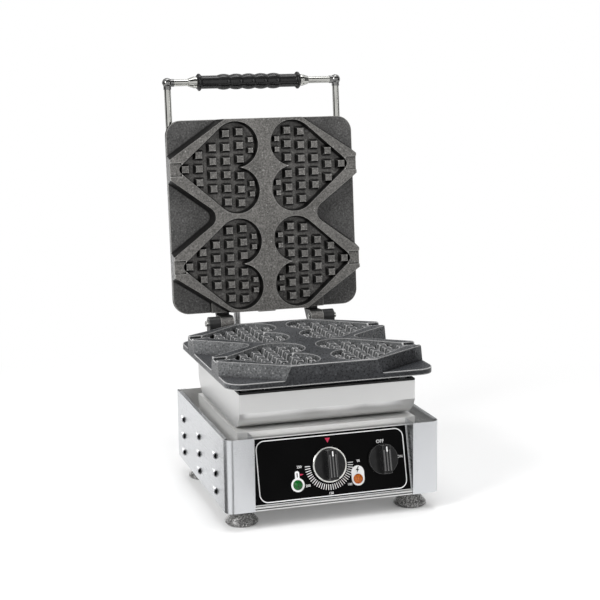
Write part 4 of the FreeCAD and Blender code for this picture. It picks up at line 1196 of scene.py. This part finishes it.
    def print_scale(self) -> None:
        """The fan of lines round the lower half of the thermostat dial, and its red marks."""
        near, far = self.tick_ring
        first, last = self.tick_arc
        middle = (near + far) / 2
        tick = self.plate("tick", (self.tick_width, far - near), self.tick_corner)
        fan = []
        for index in range(self.ticks):
            angle = first + (last - first) * index / (self.ticks - 1)
            along = self.dial[0] + middle * math.cos(math.radians(angle))
            up = self.dial[1] + middle * math.sin(math.radians(angle))
            fan.append(Bench.copy(tick, self.at(along, up, self.film + self.lift, angle - self.tick_upright)))
        bpy.data.objects.remove(tick)
        Bench.dress(Bench.join("thermostat_scale", fan), WHITE_INK, Body.BASE, Slot.CASE)
        marks = [
            self.lay(self.outline("scale_mark", self.mark), *self.mark_place),
            self.lay(self.outline("scale_wedge", self.wedge), *self.wedge_place, self.wedge_turn),
        ]
        Bench.dress(Bench.join("scale_marks", marks), RED_INK, Body.BASE, Slot.CASE)

    def print_lamp_signs(self) -> None:
        """A thermometer sign round the green lamp and a spark sign over the orange one."""
        bulb = Bench.disc("bulb_sign", self.bulb_radius * MM, self.ink * MM)
        stem = self.plate("stem_sign", self.stem, self.stem_corner)
        capsule = self.plate("capsule_sign", self.capsule, self.capsule_corner)
        signs = [
            self.lay(bulb, *self.green),
            self.lay(stem, self.green[0], self.green[1] + self.stem_up, over=self.stem_over),
            self.lay(capsule, self.orange[0], self.orange[1] + self.capsule_up),
        ]
        Bench.dress(Bench.join("lamp_signs", signs), WHITE_INK, Body.BASE, Slot.CASE)
        bore = self.plate("stem_bore", self.bore, self.bore_corner)
        spark = self.outline("spark", self.spark)
        aside, over = self.spark_from_lamp
        darks = [
            self.lay(bore, self.green[0], self.green[1] + self.bore_up, over=self.dark_over),
            self.lay(spark, self.orange[0] + aside, self.orange[1] + over, over=self.dark_over),
        ]
        Bench.dress(Bench.join("lamp_sign_marks", darks), BLACK_INK, Body.BASE, Slot.FILM)

    def print_words(self) -> None:
        """The figures round the dial and the two words at the switch."""
        labels = [
            self.lay(Bench.letters("label", words, size * MM, self.ink * MM), along, up)
            for words, size, along, up in self.labels
        ]
        Bench.dress(Bench.join("panel_words", labels), WHITE_INK, Body.BASE, Slot.CASE)

    def print_pointers(self) -> None:
        """Slim ribs along each knob's grip, and a white line at the end that points."""
        for name, (along, up), half, body in (
            ("thermostat", self.dial, self.dial_half, Body.THERMOSTAT),
            ("switch", self.switch, self.switch_half, Body.SWITCH),
        ):
            rib_size = (self.rib_width * MM, 2.0 * half * MM)
            rib = Bench.plate(name + "_grip_rib", rib_size, self.rib_corner * MM, self.rib_height * MM)
            ribs = [
                Bench.copy(rib, self.at(along + side, up - self.rib_down, self.knob_top - self.rib_sink))
                for side in self.rib_sides
            ]
            bpy.data.objects.remove(rib)
            Bench.dress(Bench.join(name + "_grip_ribs", ribs), KNOB, body, Slot.KNOB)
            line = self.plate(name + "_pointer", self.pointer, self.pointer_corner)
            place = self.at(along, up + half - self.pointer_back, self.knob_top + self.pointer_lift)
            Bench.dress(Bench.settle(line, place), WHITE_INK, body, Slot.CASE)


@dataclass
class Studio:
    """The white floor, the soft lamps, the cards that only metal mirrors, and the photograph's camera.

    Sizes and places are in metres, and angles in degrees. A lamp's row is its name, place, side and watts,
    a standing card's its name, middle, width, height and glow, and a lying card's its name, height and
    corners. A fan's row is its name and the sides of its rays, from +Y towards -X.
    """

    yaw: float = 16.98
    pitch: float = 10.65
    roll: float = -0.71
    distance: float = 2.02515
    target: Point = (-0.0006, -0.0439, 0.27629)
    lens: float = 86.546
    sensor: float = 36.0
    floor_size: float = 14.0
    floor_tone: float = 0.92
    floor_glow: float = 0.08
    floor_clear: Pair = (0.30, 0.95)
    surround: float = 0.34
    backdrop: float = 1.0
    card_tone: float = 0.03
    card_thick: float = 0.1 * MM
    card_level: ClassVar[float] = 0.5 * MM
    fan_tip: Pair = (-0.150, -0.190)
    fan_reach: float = 0.5
    fans: ClassVar[tuple[tuple[str, tuple[float, ...]], ...]] = (
        ("card_corner", (20.0, 57.0, 94.0)),
        ("card_flange", (158.0, 180.0)),
    )
    lamps: ClassVar[tuple[tuple[str, Point, float, float], ...]] = (
        ("key", (-2.2, -1.1, 1.7), 1.1, 56.0),
        ("top", (0.1, -0.3, 2.5), 1.6, 34.0),
        ("fill", (1.9, -1.3, 1.1), 1.2, 12.0),
        ("back", (0.6, 2.2, 1.6), 1.4, 16.0),
    )
    standing: ClassVar[tuple[tuple[str, Point, float, float, float], ...]] = (
        ("card_left", (-1.6, 0.1, 0.9), 1.5, 2.0, 0.0),
        ("card_right", (1.5, -0.4, 0.9), 1.5, 2.0, 0.0),
        ("card_rear", (0.1, 1.7, 1.10), 2.6, 1.40, 0.0),
        ("card_rear_bright", (-0.35, 1.5, 0.18), 0.9, 0.40, 3.0),
        ("card_front_side", (1.1, -1.7, 0.75), 0.45, 0.90, 0.0),
    )
    lying: ClassVar[tuple[tuple[str, float, tuple[Pair, ...]], ...]] = (
        ("card_front_far", card_level, ((-1.2, -1.6), (0.9, -1.6), (0.9, -0.95), (-1.2, -0.95))),
        ("card_above", 1.5, ((-0.9, -1.4), (1.4, -1.4), (1.4, 0.0), (-0.9, 0.0))),
        ("card_behind", card_level, ((-0.5, 0.7), (1.4, 0.7), (1.4, 2.2), (-0.5, 2.2))),
        ("card_front_left", card_level, ((-0.07, -0.32), (-0.016, -0.32), (0.076, -0.7), (0.022, -0.7))),
        ("card_front_right", card_level, ((0.085, -0.32), (0.135, -0.32), (0.228, -0.7), (0.178, -0.7))),
    )

    def build(self) -> None:
        """Makes the stage and sets how colours are shown."""
        bpy.context.scene.view_settings.view_transform = "Standard"
        self.lay_floor()
        self.light_world()
        for lamp in self.lamps:
            self.hang_lamp(*lamp)
        for card in self.standing:
            self.stand_card(*card)
        for card in self.lying:
            self.lay_card(*card)
        for name, sides in self.fans:
            self.lay_card(name, self.card_level, [self.fan_tip, *self.rays(sides)])
        self.aim_camera()

    @staticmethod
    def seen(nodes: bpy.types.Nodes, links: bpy.types.NodeLinks) -> Socket:
        """Tells what looks at the stage from the light that falls on the object.

        Args:
            nodes: The nodes of a material or a world.
            links: Its links.

        Returns:
            1 for camera, glossy and transmission rays, and 0 for the light that falls on the object.
        """
        path = nodes.new("ShaderNodeLightPath")
        first, second = nodes.new("ShaderNodeMath"), nodes.new("ShaderNodeMath")
        first.operation = second.operation = "MAXIMUM"
        links.new(path.outputs["Is Camera Ray"], first.inputs[0])
        links.new(path.outputs["Is Glossy Ray"], first.inputs[1])
        links.new(first.outputs[0], second.inputs[0])
        links.new(path.outputs["Is Transmission Ray"], second.inputs[1])
        return second.outputs[0]

    def lay_floor(self) -> None:
        """A plain pale floor that shows white and keeps the object's shadow."""
        Bench.clear()
        bpy.ops.mesh.primitive_plane_add(size=self.floor_size)
        floor = bpy.context.object
        floor.name = "floor"
        material = bpy.data.materials.new("floor_white")
        material.use_nodes = True
        nodes, links = material.node_tree.nodes, material.node_tree.links
        nodes.clear()
        paper, glow = nodes.new("ShaderNodeBsdfDiffuse"), nodes.new("ShaderNodeEmission")
        paper.inputs["Color"].default_value = (*grey(self.floor_tone), 1.0)
        place, away = nodes.new("ShaderNodeTexCoord"), nodes.new("ShaderNodeVectorMath")
        away.operation = "LENGTH"
        fade = nodes.new("ShaderNodeMapRange")
        fade.interpolation_type = "SMOOTHSTEP"
        fade.inputs["From Min"].default_value, fade.inputs["From Max"].default_value = self.floor_clear
        fade.inputs["To Min"].default_value = self.floor_glow
        links.new(place.outputs["Object"], away.inputs[0])
        links.new(away.outputs["Value"], fade.inputs["Value"])
        share = nodes.new("ShaderNodeMath")
        share.operation = "MULTIPLY"
        links.new(fade.outputs["Result"], share.inputs[1])
        links.new(self.seen(nodes, links), share.inputs[0])
        mix, out = nodes.new("ShaderNodeMixShader"), nodes.new("ShaderNodeOutputMaterial")
        links.new(share.outputs[0], mix.inputs["Fac"])
        links.new(paper.outputs[0], mix.inputs[1])
        links.new(glow.outputs[0], mix.inputs[2])
        links.new(mix.outputs[0], out.inputs["Surface"])
        floor.data.materials.append(material)

    def light_world(self) -> None:
        """A white surround, dimmer as light on the object than it looks."""
        world = bpy.data.worlds.new("studio")
        bpy.context.scene.world = world
        world.use_nodes = True
        nodes, links = world.node_tree.nodes, world.node_tree.links
        nodes.clear()
        soft, plain = nodes.new("ShaderNodeBackground"), nodes.new("ShaderNodeBackground")
        for background, strength in ((soft, self.surround), (plain, self.backdrop)):
            background.inputs["Color"].default_value = (*WHITE, 1.0)
            background.inputs["Strength"].default_value = strength
        mix, out = nodes.new("ShaderNodeMixShader"), nodes.new("ShaderNodeOutputWorld")
        links.new(self.seen(nodes, links), mix.inputs["Fac"])
        links.new(soft.outputs[0], mix.inputs[1])
        links.new(plain.outputs[0], mix.inputs[2])
        links.new(mix.outputs[0], out.inputs["Surface"])

    def hang_lamp(self, name: str, place: Point, size: float, power: float) -> None:
        """Hangs a square soft lamp that points at the object.

        Args:
            name: The lamp's name.
            place: Where it hangs.
            size: Its side.
            power: Its power in watts.
        """
        light = bpy.data.lights.new(name, "AREA")
        light.size = size
        light.energy = power
        lamp = bpy.data.objects.new(name, light)
        lamp.location = place
        lamp.rotation_euler = (Vector(self.target) - Vector(place)).to_track_quat("-Z", "Y").to_euler()
        bpy.context.scene.collection.objects.link(lamp)

    def stand_card(self, name: str, place: Point, width: float, height: float, glow: float) -> None:
        """Stands a card beside the object, facing it.

        Args:
            name: The card's name.
            place: Its middle.
            width: Its width.
            height: Its height.
            glow: How bright it is, or 0 for a dark card.
        """
        Bench.clear()
        bpy.ops.mesh.primitive_plane_add(size=1.0)
        card = bpy.context.object
        facing = Vector(self.target) - Vector(place)
        facing.z = 0.0
        turn = facing.to_track_quat("Z", "Y").to_matrix().to_4x4()
        card.data.transform(Matrix.Translation(place) @ turn @ Matrix.Diagonal((width, height, 1.0, 1.0)))
        self.show_in_metal(name, card, glow)

    def lay_card(self, name: str, level: float, corners: Sequence[Pair]) -> None:
        """Lays a dark card level, just over the floor or higher up.

        Args:
            name: The card's name.
            level: Its height.
            corners: Its corners in turn, in X and Y.
        """
        card = Bench.outline(name, corners, self.card_thick)
        card.data.transform(Matrix.Translation((0.0, 0.0, level)))
        self.show_in_metal(name, card, 0.0)

    def rays(self, sides: Sequence[float]) -> list[Pair]:
        """Finds the ends of rays from the fans' tip.

        Args:
            sides: The rays' angles in degrees from +Y towards -X.

        Returns:
            The ends, in X and Y.
        """
        along, deep = self.fan_tip
        return [
            (along - self.fan_reach * math.sin(turn), deep + self.fan_reach * math.cos(turn))
            for turn in map(math.radians, sides)
        ]

    def show_in_metal(self, name: str, card: Piece, glow: float) -> None:
        """Gives a card its tone, and lets polished metal alone show it.

        Args:
            name: The card's name.
            card: The card.
            glow: How bright it is, or 0 for a dark card.
        """
        card.name = name
        material = bpy.data.materials.new(name)
        material.use_nodes = True
        shader = material.node_tree.nodes["Principled BSDF"]
        shader.inputs["Base Color"].default_value = (*grey(self.card_tone), 1.0)
        shader.inputs["Emission Color"].default_value = (*WHITE, 1.0)
        shader.inputs["Emission Strength"].default_value = glow
        card.data.materials.append(material)
        card.visible_camera = card.visible_diffuse = False
        card.visible_shadow = card.visible_transmission = False

    def aim_camera(self) -> None:
        """Puts the camera where the photograph was taken from."""
        yaw, pitch, roll = (math.radians(value) for value in (self.yaw, self.pitch, self.roll))
        back = Vector((-math.sin(yaw) * math.cos(pitch), -math.cos(yaw) * math.cos(pitch), math.sin(pitch)))
        right = Vector((math.cos(yaw), -math.sin(yaw), 0.0))
        up = back.cross(right)
        level, tip = math.cos(roll), math.sin(roll)
        right, up = level * right + tip * up, level * up - tip * right
        eye = Vector(self.target) + back * self.distance
        data = bpy.data.cameras.new("photo_camera")
        data.sensor_width = self.sensor
        data.lens = self.lens
        camera = bpy.data.objects.new("photo_camera", data)
        turn = Matrix((right, up, back)).transposed().to_4x4()
        camera.matrix_world = Matrix.Translation(eye) @ turn
        bpy.context.scene.collection.objects.link(camera)
        bpy.context.scene.camera = camera


def main() -> None:
    """Builds and dresses every sub-assembly, then sets the stage."""
    logging.basicConfig(level=logging.INFO, format="%(message)s")
    for part in (BaseShell(), LowerPlate(), Hinge(), Lid(), Handle(), Conduit(), ControlPanel()):
        part.build()
        part.dress()
    Studio().build()


if __name__ == "__main__":
    main()
